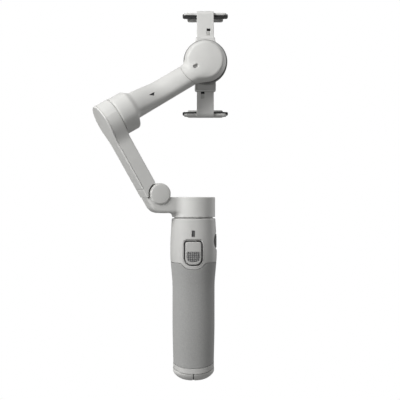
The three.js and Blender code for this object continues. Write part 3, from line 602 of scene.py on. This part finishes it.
def trigger_funnel(x, y, z):
    """The sloping surround that leads into the trigger's opening, wider above it."""
    leg = 0.75 + 0.6 * smoothstep(z, 108.5, 110.5)
    return (handle(x, y, z) - trigger_outline(x, z, TRIGGER_GAP) + leg) * math.sqrt(0.5)


def stadium(a, b, half_a, half_b):
    return rectangle(a, b, half_a, half_b, min(half_a, half_b) - 0.01)


def control_housing(x, y, z):
    skin = handle(x, y, z)
    body = np.maximum(skin, -np.maximum(skin + SHELL_WALL, z - (HANDLE_TOP - 2.6)))
    seat = slab(rectangle(y + 1.7, z - 107.5, 10.8, 10, 3), x, 12.8, 30)
    body = np.minimum(body, np.maximum(seat, skin + 0.1))
    body = keep(body, z - HANDLE_TOP, 1.0)
    body = cut(body, slab(np.hypot(x, y) - PLATE_WELL, z, PLATE[0][2] - 0.3, 140))
    body = cut(body, slab(np.hypot(x, y) - ROD_WELL, z, 110, 140))
    body = keep(body, above_split(x, y, z) + GAP, 0.5)
    body = cut(body, slab(trigger_outline(x, z, BEZEL_RIM + GAP), y, -30, 0))
    body = cut(body, slab(rectangle(x, z - STATUS_Z, 1.3, 2.5, 0.35), y, -30, -10), 0.12)
    scoop = np.maximum(np.hypot(x - SCOOP_X, z - DIAL_Z) - SCOOP_RADIUS, np.abs(y + 2.5) - 11.5)
    body = cut(body, scoop, 0.7)
    body = cut(body, np.maximum(np.hypot(y, z - DIAL_Z) - DIAL_BOX[1][1] - 0.35, 14.8 - x), 0.25)
    body = cut(body, slab(np.hypot(y, z - DIAL_Z) - 1.6, x, 5, 20))
    body = cut(body, slab(panel_outline(x, z, GAP), y, 5, 30))
    return cut(body, slab(stadium(y, z - PORT_Z, 2.0, 4.9), x, -30, -5), 0.4)


def panel_outline(x, z, grow):
    tall = (PANEL[1][2] - PANEL[0][2]) / 2
    return rectangle(x, z - middle(PANEL, 2), PANEL[1][0] + grow, tall + grow, 5)


def grip_sleeve(x, y, z):
    skin = handle(x, y, z)
    body = np.maximum(skin, -(skin + 1.8))
    body = keep(body, -(above_split(x, y, z) - GAP), 0.4)
    return keep(body, joint_line(BASE_LINE, x) + GAP - z, 0.4)


def base_ring(x, y, z):
    body = handle(x, y, z) - 0.05
    body = keep(body, z - (joint_line(BASE_LINE, x) - GAP), 0.25)
    body = keep(body, joint_line(FEET_LINE, x) + 0.2 - z, 0.2)
    return cut(body, np.hypot(x, y) - 12.3)


def trigger_bezel(x, y, z):
    body = np.maximum(handle(x, y, z), y + 16.2)
    body = np.maximum(body, trigger_outline(x, z, BEZEL_RIM))
    body = cut(body, trigger_outline(x, z, TRIGGER_GAP))
    return keep(body, trigger_funnel(x, y, z), 0.2)


def bezel_walls_painted_shade(x, y, z):
    """Painted shade on the walls of the gap round the trigger, inside the surround."""
    return (trigger_outline(x, z, TRIGGER_GAP) < 0.12) & (trigger_funnel(x, y, z) < -0.12)


def trigger(x, y, z):
    """A pull key whose lower half has a field of small raised squares."""
    face = TRIGGER[0][1] + x**2 / 70 + 0.35 * ((z - PRESS_Z) / PRESS_HALF) ** 2
    groove = smoothstep(-tread_outline(x, z, 0.05), 0, 0.3) * (1 - tread_square(x, z))
    body = keep(trigger_outline(x, z, 0), face + 0.45 * groove - y, 0.9)
    return np.maximum(body, y - TRIGGER[1][1])


def tread_outline(x, z, grow=0.0):
    corner = np.where(z < TREAD_Z, 3.6, 0.7)
    return rectangle(x, z - TREAD_Z, TREAD_WIDE + grow, TREAD_TALL + grow, corner)


def tread_square(x, z):
    """1 on the trigger's small squares, 0 in the grooves between them."""
    pitch = 1.5
    across = np.abs(x / pitch - np.round(x / pitch)) * pitch
    rise = (z - TREAD_Z) / pitch
    up = np.abs(rise - np.round(rise)) * pitch
    return 1 - smoothstep(np.maximum(across, up), 0.4, 0.6)


# Painted shade: where the trigger's field of squares is coloured darker.
def trigger_tread_painted_shade(x, y, z):
    return (tread_outline(x, z) < 0) & (y < TRIGGER[0][1] + 1.6)


# Painted shade: the grooves between the squares take the darkest colour.
def trigger_grooves_painted_shade(x, y, z):
    return trigger_tread_painted_shade(x, y, z) & (tread_square(x, z) < 0.6)


def control_panel(x, y, z):
    skin = handle(x, y, z)
    body = np.maximum(np.maximum(skin, -(skin + 1.8)), -y)
    body = keep(body, panel_outline(x, z, -0.05), 0.5)
    stick = np.hypot(x, z - STICK_Z)
    body = cut(body, stick - 7.4, 0.6)
    body = keep(body, (skin + 9.2 - stick) * math.sqrt(0.5), 0.3)
    for side in (-1, 1):
        hole = np.hypot(x - side * middle(BUTTON, 0), z - middle(BUTTON, 2)) - 3.85
        body = cut(body, hole, 0.5)
    return body


def usb_port(x, y, z):
    up = z - PORT_Z
    body = slab(stadium(y, up, 1.9, 4.8), x, PORT[0][0], PORT[1][0], 0.15)
    body = cut(body, slab(stadium(y, up, 1.35, 4.25), x, -30, PORT[1][0] - 1.2))
    tongue = block((y, -0.35, 0.35), (up, -3.1, 3.1), (x, PORT[0][0] + 1.2, PORT[1][0] - 0.5), 0.1)
    return np.minimum(body, tongue)


def status_window(x, y, z):
    return slab(rectangle(x, z - STATUS_Z, 1.12, 2.3, 0.3), y, STATUS[0][1], STATUS[1][1], 0.15)


def leg_field(number):
    """One tripod leg: a third of the domed bottom, an arc of tube up inside the handle and its tab."""
    bearing = math.radians(90 + 120 * number)
    towards = (math.cos(bearing), math.sin(bearing))

    def field(x, y, z):
        out = x * towards[0] + y * towards[1]
        side = -x * towards[1] + y * towards[0]
        radius = np.hypot(x, y)
        notch = 0.5 * (1 - smoothstep(z, 0.6, 1.7))
        sector = np.abs(side) * 0.5 - out * math.sqrt(0.75)
        flat = np.maximum(radius - FOOT_FLAT, 0) / FOOT_ROUND
        down = np.maximum(FOOT_TOP - z, 0) / FOOT_HIGH
        dome = ((flat**FOOT_POWER + down**FOOT_POWER) ** (1 / FOOT_POWER) - 1) * FOOT_HIGH
        foot = keep(dome, sector + 0.35 + notch, 0.15)
        foot = keep(foot, z - (joint_line(FEET_LINE, x) - 0.2), 0.25)
        foot = cut(foot, radius - 6.0)
        wall = np.maximum(radius - 12.0, 9.5 - radius)
        shaft = np.maximum(np.maximum(wall, sector + 1.2), np.maximum(z - 51.7, 4 - z))
        tab = block((out, 9.65, 11.85), (side, -2.8, 2.8), (z, 49.0, 55.0), 0.3)
        tab = cut(tab, np.hypot(out - 10.75, z - 53.2) - 0.7)
        return np.minimum(np.minimum(foot, shaft), tab)

    return field


def dial_ribs(angle, radius, level):
    rim = radius > 5.2 and DIAL_BOX[0][0] + 0.3 < level < DIAL_BOX[1][0] - 0.3
    return 0.22 * max(0.0, math.sin(36 * angle)) if rim else 0


def build_handle():
    mould("control_housing", control_housing, [BODY], 0.45)
    mould("grip_sleeve", grip_sleeve, [GRIP], 0.6, room=2.2)
    mould("base_ring", base_ring, [BODY], 0.45, room=2.2)
    # The bezel's inner walls take the dark colour as painted shade in the gap.
    bezel = mould("trigger_bezel", trigger_bezel, [BODY, DARK_PLASTIC_AND_PAINTED_SHADE], 0.25)
    colour_in(bezel, bezel_walls_painted_shade, 1)
    key = mould("trigger", trigger, [CONTROL, TREAD_PAINTED_SHADE, FRAME_PLASTIC_AND_PAINTED_SHADE], 0.15, room=0.5)
    # Painted shade on the field of squares, and darker still in its grooves.
    colour_in(key, trigger_tread_painted_shade, 1)
    colour_in(key, trigger_grooves_painted_shade, 2)
    # Painted shade: the trigger's sides, down in the gap, take the darkest colour.
    colour_in(key, lambda x, y, z: (trigger_outline(x, z, 0) > -0.3) & (y > TRIGGER[0][1] + 1.9), 2)
    mould("control_panel", control_panel, [BODY], 0.35)
    mould("usb_port", usb_port, [STEEL], 0.16, room=0.5)
    for number in range(3):
        mould(f"tripod_leg_{number + 1}", leg_field(number), [SHELL], 0.4)

    mould("status_window", status_window, [WINDOW], 0.12, room=0.4)

    inner, outer, radius = DIAL_BOX[0][0], DIAL_BOX[1][0], DIAL_BOX[1][1]
    dial = Axes([0, 0, DIAL_Z], [1, 0, 0], BACK, UP)
    turn("side_dial", [
        [0, inner], [radius - 0.4, inner], [radius, inner + 0.4], [radius, outer - 0.7],
        [radius - 0.2, outer - 0.25], [radius - 0.7, outer], [radius - 1.4, outer - 0.05],
        [radius - 1.9, outer - 0.45], [1.8, outer - 0.6], [1.4, outer - 0.3], [0, outer - 0.25],
    ], [DIAL], dial, "x", 144, dial_ribs, edge=0)

    stick = Axes([0, 0, STICK_Z], [1, 0, 0], BACK, UP)
    low, high = (corner[1] for corner in span("joystick_cap"))
    turn("joystick_cap", [
        [0, low], [1.5, low], [1.5, low + 3.4], [2.1, low + 4.1], [4.9, low + 4.25], [5.5, low + 4.6],
        [5.8, low + 5.2], [5.7, low + 5.9], [5.2, low + 6.6], [4.4, high - 0.05], [3.8, high],
        [3.1, high - 0.2], [1.6, high - 0.55], [0, high - 0.65],
    ], [DIAL], stick, "y", 96, edge=0)
    for node, slot, look in (
        ("record_button", "record_plastic", RECORD), ("mode_button", "control_plastic", CONTROL),
    ):
        low, high = span(node)
        centre = Axes([middle((low, high), 0), 0, middle((low, high), 2)], [1, 0, 0], BACK, UP)
        turn(node, [
            [0, low[1]], [3.6, low[1]], [3.6, high[1] - 0.5], [3.45, high[1] - 0.15], [3.1, high[1]],
            [2.2, high[1] - 0.12], [1.1, high[1] - 0.22], [0, high[1] - 0.25],
        ], [look], centre, "y", 72, edge=0)


def ring(radius, wall, low, high):
    return [[radius - wall, low], [radius, low], [radius, high], [radius - wall, high], [radius - wall, low]]


def build_core():
    top = span("core_tube")[1][2]
    turn("core_tube", [
        [0, 0], [4.7, 0], [5.3, 0.25], [5.5, 0.9], [5.5, 9], [9.2, 9], [9.2, 60], [11.9, 60],
        [11.9, top], [8.3, top], [8.3, 11], [0, 11],
    ], [FRAME_PLASTIC_AND_PAINTED_SHADE])
    low, high = span("battery_pack")
    turn("battery_pack", [
        [0, low[2]], [7.6, low[2]], [8, low[2] + 0.5], [8, high[2] - 0.8], [7.2, high[2]],
        [3.0, high[2]], [3.0, high[2] - 0.3], [0, high[2] - 0.3],
    ], [WRAP])
    for number in range(1, 5):
        node = f"rod_stage_{number}"
        low, high = span(node)
        turn(node, ring(high[0], 0.8, low[2], high[2]), [STEEL])
    low, high = span("rod_head")
    turn("rod_head", [
        [0, low[2]], [5.5, low[2]], [5.5, high[2] - 0.65], [9.4, high[2] - 0.65], [9.4, high[2]],
        [0, high[2]],
    ], [STEEL])
    low, high = PLATE
    turn("pan_base_plate", [
        [0, low[2]], [high[0] - 0.3, low[2]], [high[0], low[2] + 0.3], [high[0], high[2]], [0, high[2]],
    ], [CLAMP])


# ---- pan housing, beam and elbow ----
PAN_RADIUS = 17.0
PAN_LOW = PLATE[1][2] - 0.2
PAN_HIGH = span("pan_rotor_ring")[1][2] + 5.5
ARM_OUTER = -10.7  # the arm's outer face, from the fold axis
BEAM_LOW = -14.9
LEAN = math.radians(30)
HEEL = math.radians(195)
BOSS = 8.3


def wedge(a, b, apex, first, second, radius):
    """The corner between two straight sides, rounded by a true arc. first and second are the sides'
    outward normals; apex is the arc's centre."""
    a, b = a - apex[0], b - apex[1]
    out_first = a * first[0] + b * first[1]
    out_second = a * second[0] + b * second[1]
    past_first = a * -first[1] + b * first[0]
    past_second = a * second[1] - b * second[0]
    turning = np.sign(first[0] * second[1] - first[1] * second[0])
    corner = (past_first * turning > 0) & (past_second * turning > 0)
    return np.where(corner, np.hypot(a, b), np.maximum(out_first, out_second)) - radius


def elbow_profile(p, q):
    """The elbow from the side: p runs towards the pan axis from the fold axis, q up."""
    bend = 10.0
    level = BEAM_LOW + bend
    centre = ((ARM_OUTER + bend - level * math.sin(LEAN)) / math.cos(LEAN), level)
    outer = wedge(p, q, centre, (-math.cos(LEAN), -math.sin(LEAN)), (0, -1), bend)
    heel = math.sin(HEEL) * p - math.cos(HEEL) * q
    return np.maximum(outer, heel + 0.08)


def pan_housing(x, y, z):
    p, side, q = HINGE.of(x, y, z)
    radius = np.hypot(x, y)
    drum = slab(radius - PAN_RADIUS, z, PAN_LOW, 200, 0.5)
    beam = slab(np.maximum(elbow_profile(p, q), p - 24), side, -9.4, 9.4, 2.4)
    body = join(drum, beam, 3.2)
    body = keep(body, z - PAN_HIGH, 0.9)
    boss = slab(np.hypot(p, q) - BOSS, side, -9.9, 10.1, 0.4)
    body = join(body, boss, 0.3)
    body = cut(body, slab(radius - 14.8, z, 120, PAN_HIGH - 2.9))
    body = cut(body, slab(radius - PLATE_WELL, z, 120, PAN_LOW + 0.8))
    body = cut(body, slab(radius - 13.9, z, PAN_HIGH - 1.4, 160))
    body = cut(body, slab(np.hypot(p, q) - 7.15, side, -30, -9.3))
    body = cut(body, slab(np.hypot(p, q) - 2.5, side, -7.9, 7.9))
    return cut(body, slab(np.hypot(p, q) - 9.3, side, -4.6, 4.6))


def build_pan():
    mould("pan_housing", pan_housing, [SHELL], 0.5)
    low, high = PAN_HIGH - 1.1, PAN_HIGH + 0.05
    turn("pan_top_cover", [
        [0, low], [13.7, low], [13.7, high - 0.35], [13.5, high - 0.08], [13.1, high], [6, high], [0, high],
    ], [SHELL], edge=0)
    turn("fold_cap", [
        [0, -9.6], [7.1, -9.6], [7.1, -9.95], [7.75, -10.0], [7.75, -10.3], [7.6, -10.6], [7.3, -10.8],
        [6.8, -10.9], [3, -10.95], [0, -10.95],
    ], [SHELL], HINGE, "y", edge=0)
    pin = [[0, -7.6], [2.2, -7.6], [2.2, 7.6], [0, 7.6]]
    turn("fold_pin", pin, [PIN_STEEL], HINGE, "y", 48)


# ---- lower arm ----
ARM_LENGTH = np.linalg.norm(TILT.origin - ARM.origin)
MOTOR_RADIUS = 15.6
STRAP_HALF = 10.25
COVER_START = 9.7
SEAM = -9.45


def arm_outline(w, d, inset=0.0):
    """The arm seen square on: a strap that swells into the motor's round end."""
    strap = np.maximum(np.abs(w) - STRAP_HALF + inset, d - ARM_LENGTH)
    return join(strap, np.hypot(w, d - ARM_LENGTH) - MOTOR_RADIUS + inset, 7.0)


def lower_arm_body(x, y, z):
    t, w, d = ARM.of(x, y, z)
    body = slab(np.maximum(arm_outline(w, d), -20 - d), t, ARM_OUTER, 1.0, 0.9)
    body = cut(body, np.maximum(t - SEAM - 0.12, COVER_START - d), 0.2)
    heel = HEEL - LEAN
    body = np.maximum(body, math.cos(heel) * d - math.sin(heel) * t + 0.08)
    body = cut(body, np.hypot(t, d) - 9.6, 0.15)
    pocket = np.maximum(np.maximum(arm_outline(w, d, 1.7), t + 0.8), COVER_START + 6 - d)
    body = cut(body, pocket)
    knuckle = slab(np.hypot(t, d) - 8.0, w, -4.3, 4.3, 0.3)
    web = block((t, -8.5, 0), (w, -4.3, 4.3), (d, 0, 12))
    body = np.minimum(body, np.minimum(knuckle, web))
    body = cut(body, np.hypot(t, d) - 2.5)
    return cut(body, np.maximum(np.hypot(w, d - ARM_LENGTH) - 3.5, -5 - t))


def lower_arm_cover(x, y, z):
    t, w, d = ARM.of(x, y, z)
    body = slab(arm_outline(w, d), t, ARM_OUTER, 6, 1.0)
    body = keep(body, t - SEAM + 0.12, 0.1)
    body = keep(body, COVER_START + 0.25 - d, 0.35)
    return body


def build_lower_arm():
    mould("lower_arm_body", lower_arm_body, [SHELL], 0.5)
    mould("lower_arm_cover", lower_arm_cover, [SHELL], 0.4)


# ---- upper arm ----
ROTOR_RADIUS = 15.5
ROTOR_FAR = 14.2
ARM_TOP, ARM_BOTTOM, ARM_BACK, ARM_ARC = -7.9, 11.4, 6.3, 15.0
NEAR_CENTRE, FAR_CENTRE = (2.6, 0.5), (7.0, 8.7)
ARM_SEAM = 20.5  # from the roll axis
ARM_WALL = 3.2
NOTCH_ALONG, NOTCH_ACROSS = 26.4, 2.7
SENSOR_ALONG, SENSOR_ACROSS = TUBE_LENGTH - 11.9, 0.3
FACE, FACE_BACK, ROLL_RADIUS = -1.4, 8.5, 17.6


def arc_centre(along):
    """The centre of the arc that is the arm's front. It starts near the middle motor's axis and moves
    down and back as the arm leaves the motor, so that the front flows out of the motor's own side."""
    shift = smoothstep(along, 3, 40)
    return [near + (far - near) * shift for near, far in zip(NEAR_CENTRE, FAR_CENTRE)]


def arm_front(across, deep, along, inset=0.0):
    centre = arc_centre(along)
    return np.hypot(across - centre[0], deep - centre[1]) - ARM_ARC + inset


def arm_section(across, deep, along, inset=0.0):
    body = keep(arm_front(across, deep, along, inset), across - ARM_BOTTOM + inset, 5.0)
    body = keep(body, ARM_TOP + inset - across, 1.5)
    return keep(body, deep - ARM_BACK + inset, 2.5)


def arm_surface(across, along):
    """How deep the arm's front lies there, seen square on."""
    centre = arc_centre(along)
    return centre[1] - np.sqrt(ARM_ARC**2 - (across - centre[0]) ** 2)


def upper_arm_tube(x, y, z):
    across, deep, along = TUBE.of(x, y, z)
    t, w, d = TILT.of(x, y, z)
    u, _, h = ROLL.of(x, y, z)
    radius = np.hypot(w, d)
    drum = slab(radius - ROTOR_RADIUS + 0.15, t, 1.6, ROTOR_FAR, 1.7)
    flange = slab(radius - ROTOR_RADIUS, t, 1.6, 2.7, 0.2)
    bar = np.maximum(arm_section(across, deep, along), 2.3 - t)
    body = np.minimum(join(drum, bar, 4.0), flange)
    body = np.maximum(body, ARM_SEAM + GAP - np.hypot(u, h))
    body = cut(body, slab(radius - 13.6, t, 0, 12.5))
    body = cut(body, np.maximum(arm_section(across, deep, along, ARM_WALL), ROTOR_FAR - t))
    depth = 1.9 - 0.5 * (across - NOTCH_ACROSS + 1.2)
    notch = np.maximum(notch_outline(across, along), deep - arm_surface(NOTCH_ACROSS, along) - depth)
    return cut(body, notch, 0.15)


def notch_outline(across, along):
    """A small triangle with its long side up, and its low corner towards the last motor."""
    a, b = across - NOTCH_ACROSS + 1.2, along - NOTCH_ALONG
    rising = (3.8 * a - 2.6 * (b + 3)) / 4.6
    falling = (2.2 * a + 2.6 * (b - 3)) / 3.4
    return np.maximum(-a, np.maximum(rising, falling))


# Painted shade: the notch's deeper part is coloured dark.
def notch_painted_shade(x, y, z):
    across, deep, along = TUBE.of(x, y, z)
    below = deep - arm_surface(NOTCH_ACROSS, along)
    return (notch_outline(across, along) < 0.1) & (below > 0.4) & (below < 2.5)


def sensor_oval(across, along, half_wide, half_long):
    return stadium(across - SENSOR_ACROSS, along - SENSOR_ALONG, half_wide, half_long)


def upper_arm_end_shell(x, y, z):
    across, deep, along = TUBE.of(x, y, z)
    u, v, h = ROLL.of(x, y, z)
    radius = np.hypot(u, h)
    dome = FACE - 1.1 + 1.1 * (radius / 14.2) ** 2 - v
    skirt = np.maximum(radius - 14.4 - 0.29 * (v - FACE), radius - 16.6)
    disc = keep(skirt, dome, 1.8)
    neck = np.maximum(arm_section(across, deep, along), radius - ARM_SEAM + GAP)
    neck = np.maximum(neck, along - TUBE_LENGTH)
    body = join(disc, neck, 4.0)
    body = np.maximum(np.maximum(body, v - FACE_BACK), radius - ARM_SEAM + GAP)
    body = cut(body, np.maximum(skirt + 0.8, FACE + 1.6 - v))
    body = cut(body, np.maximum(arm_section(across, deep, along, ARM_WALL), along - TUBE_LENGTH + 8))
    seat = np.maximum(sensor_oval(across, along, 1.05, 1.7), deep + 3.95)
    rim = np.maximum(sensor_oval(across, along, 1.6, 2.3), deep + 5.55)
    body = cut(body, rim, 0.3)
    return cut(body, seat, 0.3)


def sensor_window(x, y, z):
    across, deep, along = TUBE.of(x, y, z)
    return slab(sensor_oval(across, along, 0.85, 1.5), deep, -5.2, -4.25, 0.2)


def roll_rotor_can(x, y, z):
    u, v, h = ROLL.of(x, y, z)
    radius = np.hypot(u, h)
    body = slab(radius - ROLL_RADIUS, v, 9.0, 16.5, 0.8)
    return cut(body, slab(radius - 13.2, v, 0, 14.8))


def build_upper_arm():
    tube = mould("upper_arm_tube", upper_arm_tube, [SHELL, FRAME_PLASTIC_AND_PAINTED_SHADE], 0.4, room=9)
    # Painted shade in the notch.
    colour_in(tube, notch_painted_shade, 1)
    mould("upper_arm_end_shell", upper_arm_end_shell, [SHELL], 0.35, room=3)
    mould("sensor_window", sensor_window, [SENSOR], 0.12, room=0.5)


# ---- clamp ----
STRAP = 6.9
STRAP_FRONT, STRAP_BACK = 20.5, 22.5
PHONE = 25.4  # the plane of the clamp's back pad
JAW_HALF, PAD_HALF = 17.4, 18.6
JAW_GRIP, BAR_LOW, BAR_TOP, JAW_TOP, LIP = 38.8, 40.2, 42.0, 43.3, 36.8
JAW_BEND = 3.4  # the radius that the strap curls round the phone's edge with
PAD_TOP = 41.4
SLOT_H, SLOT_TALL = 25.7, 2.8


def clamp_bracket(x, y, z):
    u, v, h = ROLL.of(x, y, z)
    low, high = (corner[2] - ROLL.origin[2] for corner in span("clamp_bracket"))
    half = 8.55 - 0.75 * smoothstep(h, 16.5, 19.5)
    top = high - 0.5 * (u / 8) ** 2
    flat = rectangle(u, h - (low + high) / 2, half, (high - low) / 2, 1.4)
    flat = keep(flat, h - top, 0.8)
    body = slab(flat, v, 16.8, 24.6, 0.9)
    panel = rectangle(u, h - (low + high) / 2, half - 1.0, (high - low) / 2 - 1.1, 1.0)
    body = cut(body, np.maximum(np.maximum(panel, v - 17.4), h + 15), 0.15)
    strap = block((u, -STRAP - 0.3, STRAP + 0.3), (v, STRAP_FRONT - 0.3, STRAP_BACK + 0.3), (h, -60, 60), 0.3)
    body = cut(body, strap, 0.25)
    return cut(body, block((u, -7.2, 7.2), (v, 23.9, 30), (h, -20.2, 20.2), 0.5))


def clamp_back_pad(x, y, z):
    u, v, h = ROLL.of(x, y, z)
    face = PHONE - 0.15 * (1 - smoothstep(np.abs(h), 17.5, 19.5))
    ribs = 0.18 * (0.5 + 0.5 * np.cos(h * math.pi / 1.6)) * (np.abs(h) < 17.6)
    body = slab(rectangle(u, h, 7, 20, 1.2), v, 24.2, PHONE, 0.3)
    return np.maximum(body, v - face + ribs)


def jaw_field(up, slot_side, dark_low, dark_high):
    """A strap that slides in the bracket and curls over the phone's edge into a wide jaw."""

    def field(x, y, z):
        u, v, h = ROLL.of(x, y, z)
        h = h * up
        over_v = STRAP_FRONT - v + JAW_BEND
        over_h = h - JAW_TOP + JAW_BEND
        corner = np.hypot(np.maximum(over_v, 0), np.maximum(over_h, 0)) - JAW_BEND
        outside = np.minimum(np.maximum(over_v, over_h), 0) + corner
        bar = np.maximum(outside, -keep(STRAP_BACK - v, h - JAW_TOP + 2.0, 2.4))
        bar = np.maximum(bar, np.maximum(v - 30, 6 - h))
        strap = keep(np.abs(u) - STRAP, bar, 0.45)
        plan = rectangle(u, v - (PHONE - 1.2 + LIP) / 2, JAW_HALF, (LIP - PHONE + 1.2) / 2, 2.6)
        jaw = slab(plan, h, BAR_LOW, BAR_TOP, 0.55)
        lip_plan = rectangle(u, h - 39.6, JAW_HALF - 2.6, 3.1, 1.6)
        lip = slab(lip_plan, v, LIP - 1.7, LIP - 0.15, 0.5)
        body = join(join(strap, jaw, 0.6), lip, 0.8)
        slot = rectangle(u - slot_side, h - SLOT_H, 1.5, SLOT_TALL, 0.35)
        ribs = 0.5 + 0.35 * np.cos((u - slot_side) * 2 * math.pi)
        dark = np.maximum(slot, np.maximum(dark_low - h, h - dark_high))
        body = cut(body, np.maximum(slot, v - STRAP_FRONT - ribs), 0.1)
        return cut(body, np.maximum(dark, v - STRAP_FRONT - 1.5), 0.1)

    return field


def build_clamp():
    mould("roll_rotor_can", roll_rotor_can, [CAN], 0.45)
    mould("clamp_bracket", clamp_bracket, [CLAMP], 0.35)
    mould("clamp_back_pad", clamp_back_pad, [PAD], 0.3)
    for name, up, side, dark in (("upper", 1, 2.6, (26.6, 28.4)), ("lower", -1, -2.1, (22.9, 24.4))):
        node = f"{name}_jaw"
        jaw = mould(node, jaw_field(up, side, *dark), [CLAMP, DARK_PLASTIC_AND_PAINTED_SHADE], 0.35)

        # Painted shade: the deep part of each slot is coloured dark, standing in for a see-through hole.
        def deep_slot_painted_shade(x, y, z, up=up, side=side, dark=dark):
            u, v, h = ROLL.of(x, y, z)
            h = h * up
            inside = (np.abs(u - side) < 1.55) & (h > dark[0] - 0.1) & (h < dark[1] + 0.15)
            return inside & (v > STRAP_FRONT + 0.25) & (v < STRAP_BACK)

        colour_in(jaw, deep_slot_painted_shade, 1)
        node = f"{name}_jaw_pad"
        low, high = span(node)

        def liner(x, y, z, low=low, high=high, up=up):
            u, _, h = ROLL.of(x, y, z)
            h = h * up
            back, deep = y - middle((low, high), 1), (high[1] - low[1]) / 2
            plan = rectangle(u, back, PAD_HALF, deep, 2.4)
            body = slab(plan, h, JAW_GRIP, PAD_TOP, 0.9)
            inside = rectangle(u, back, JAW_HALF + 0.15, deep + 2, 2.4)
            body = cut(body, np.maximum(inside, 40.0 - h), 0.3)
            rib = 0.22 * (0.5 + 0.5 * np.cos(u * math.pi / 0.9))
            return np.maximum(body, JAW_GRIP + rib - h)

        mould(node, liner, [PAD], 0.3, room=2)


# ---- the remaining inner pieces keep their CAD shape ----
INNER = {
    "grip_frame": FRAME_PLASTIC_AND_PAINTED_SHADE, "rod_guide": STEEL, "main_board": BOARD, "joystick_base": DARK_PLASTIC_AND_PAINTED_SHADE,
    "dial_axle": PIN_STEEL, "joystick_yoke": STEEL, "tripod_slider": STEEL, "leg_pin_1": PIN_STEEL,
    "leg_pin_2": PIN_STEEL, "leg_pin_3": PIN_STEEL, "pan_stator": COPPER, "pan_rotor_ring": MAGNET,
    "tilt_stator": COPPER, "arm_board": BOARD, "tilt_rotor_ring": MAGNET, "roll_stator": COPPER,
    "roll_rotor_ring": MAGNET,
}


def finish_inner():
    for node, look in INNER.items():
        piece = frame["nodes"][node]
        piece.data.materials.clear()
        piece.data.materials.append(look)
        soften(piece, 0.12)


# ---- stage ----
def white_for_the_camera(tree, shade, shade_socket, white):
    """Mixes a stage shader so that the camera sees plain white and the light rays see the shader."""
    path = tree.nodes.new("ShaderNodeLightPath")
    mix = tree.nodes.new("ShaderNodeMixShader")
    tree.links.new(path.outputs["Is Camera Ray"], mix.inputs[0])
    tree.links.new(shade.outputs[shade_socket], mix.inputs[1])
    tree.links.new(white.outputs[0], mix.inputs[2])
    return mix.outputs[0]


def build_world(strength):
    world = bpy.data.worlds.new("studio")
    bpy.context.scene.world = world
    world.use_nodes = True
    tree = world.node_tree
    soft = tree.nodes["Background"]
    soft.inputs[0].default_value = (1, 1, 1, 1)
    soft.inputs[1].default_value = strength
    white = tree.nodes.new("ShaderNodeBackground")
    white.inputs[0].default_value = (1, 1, 1, 1)
    seen = white_for_the_camera(tree, soft, 0, white)
    tree.links.new(seen, tree.nodes["World Output"].inputs[0])


def build_floor(level):
    mesh = bpy.data.meshes.new("floor")
    half = 3.0
    corners = [(-half, -half, level), (half, -half, level), (half, half, level), (-half, half, level)]
    mesh.from_pydata(corners, [], [(0, 1, 2, 3)])
    floor = bpy.data.objects.new("floor", mesh)
    bpy.context.scene.collection.objects.link(floor)
    look = bpy.data.materials.new("floor_white")
    look.use_nodes = True
    tree = look.node_tree
    tree.nodes["Principled BSDF"].inputs["Base Color"].default_value = (0.28, 0.28, 0.28, 1)
    tree.nodes["Principled BSDF"].inputs["Roughness"].default_value = 0.9
    white = tree.nodes.new("ShaderNodeEmission")
    seen = white_for_the_camera(tree, tree.nodes["Principled BSDF"], 0, white)
    tree.links.new(seen, tree.nodes["Material Output"].inputs[0])
    mesh.materials.append(look)


def build_light(name, place, target, size, power):
    lamp = bpy.data.lights.new(name, "AREA")
    lamp.shape = "RECTANGLE"
    lamp.size, lamp.size_y = size
    lamp.energy = power
    holder = bpy.data.objects.new(name, lamp)
    bpy.context.scene.collection.objects.link(holder)
    place, target = np.array(place, float), np.array(target, float)
    away = unit(place - target)
    right = unit(np.cross(UP, away))
    holder.matrix_world = Axes(place / MM, right, np.cross(away, right), away).matrix()


def build_camera():
    camera = bpy.data.cameras.new("camera")
    camera.lens = 81
    camera.sensor_width = 36
    holder = bpy.data.objects.new("camera", camera)
    bpy.context.scene.collection.objects.link(holder)
    holder.location = (0.0051, -0.711, 0.1412)
    holder.rotation_euler = (math.radians(90), 0, 0)
    bpy.context.scene.camera = holder


def build_stage():
    bpy.context.scene.view_settings.view_transform = "Standard"
    build_world(0.30)
    build_floor(-0.12)  # well below the object, which the photo shows with no shadow under it
    target = (0, 0, 0.14)
    build_light("key", (-0.52, -0.67, 0.71), target, (0.5, 0.5), 8.5)
    build_light("fill", (-0.95, -0.45, 0.32), target, (0.7, 0.7), 3.9)
    build_light("top", (-0.2, 0.1, 1.4), target, (0.9, 0.6), 1.6)
    build_light("rim", (1.0, 0.75, 0.4), target, (0.4, 0.9), 4.4)


build_camera()
build_handle()
build_core()
build_pan()
build_lower_arm()
build_upper_arm()
build_clamp()
finish_inner()
build_stage()
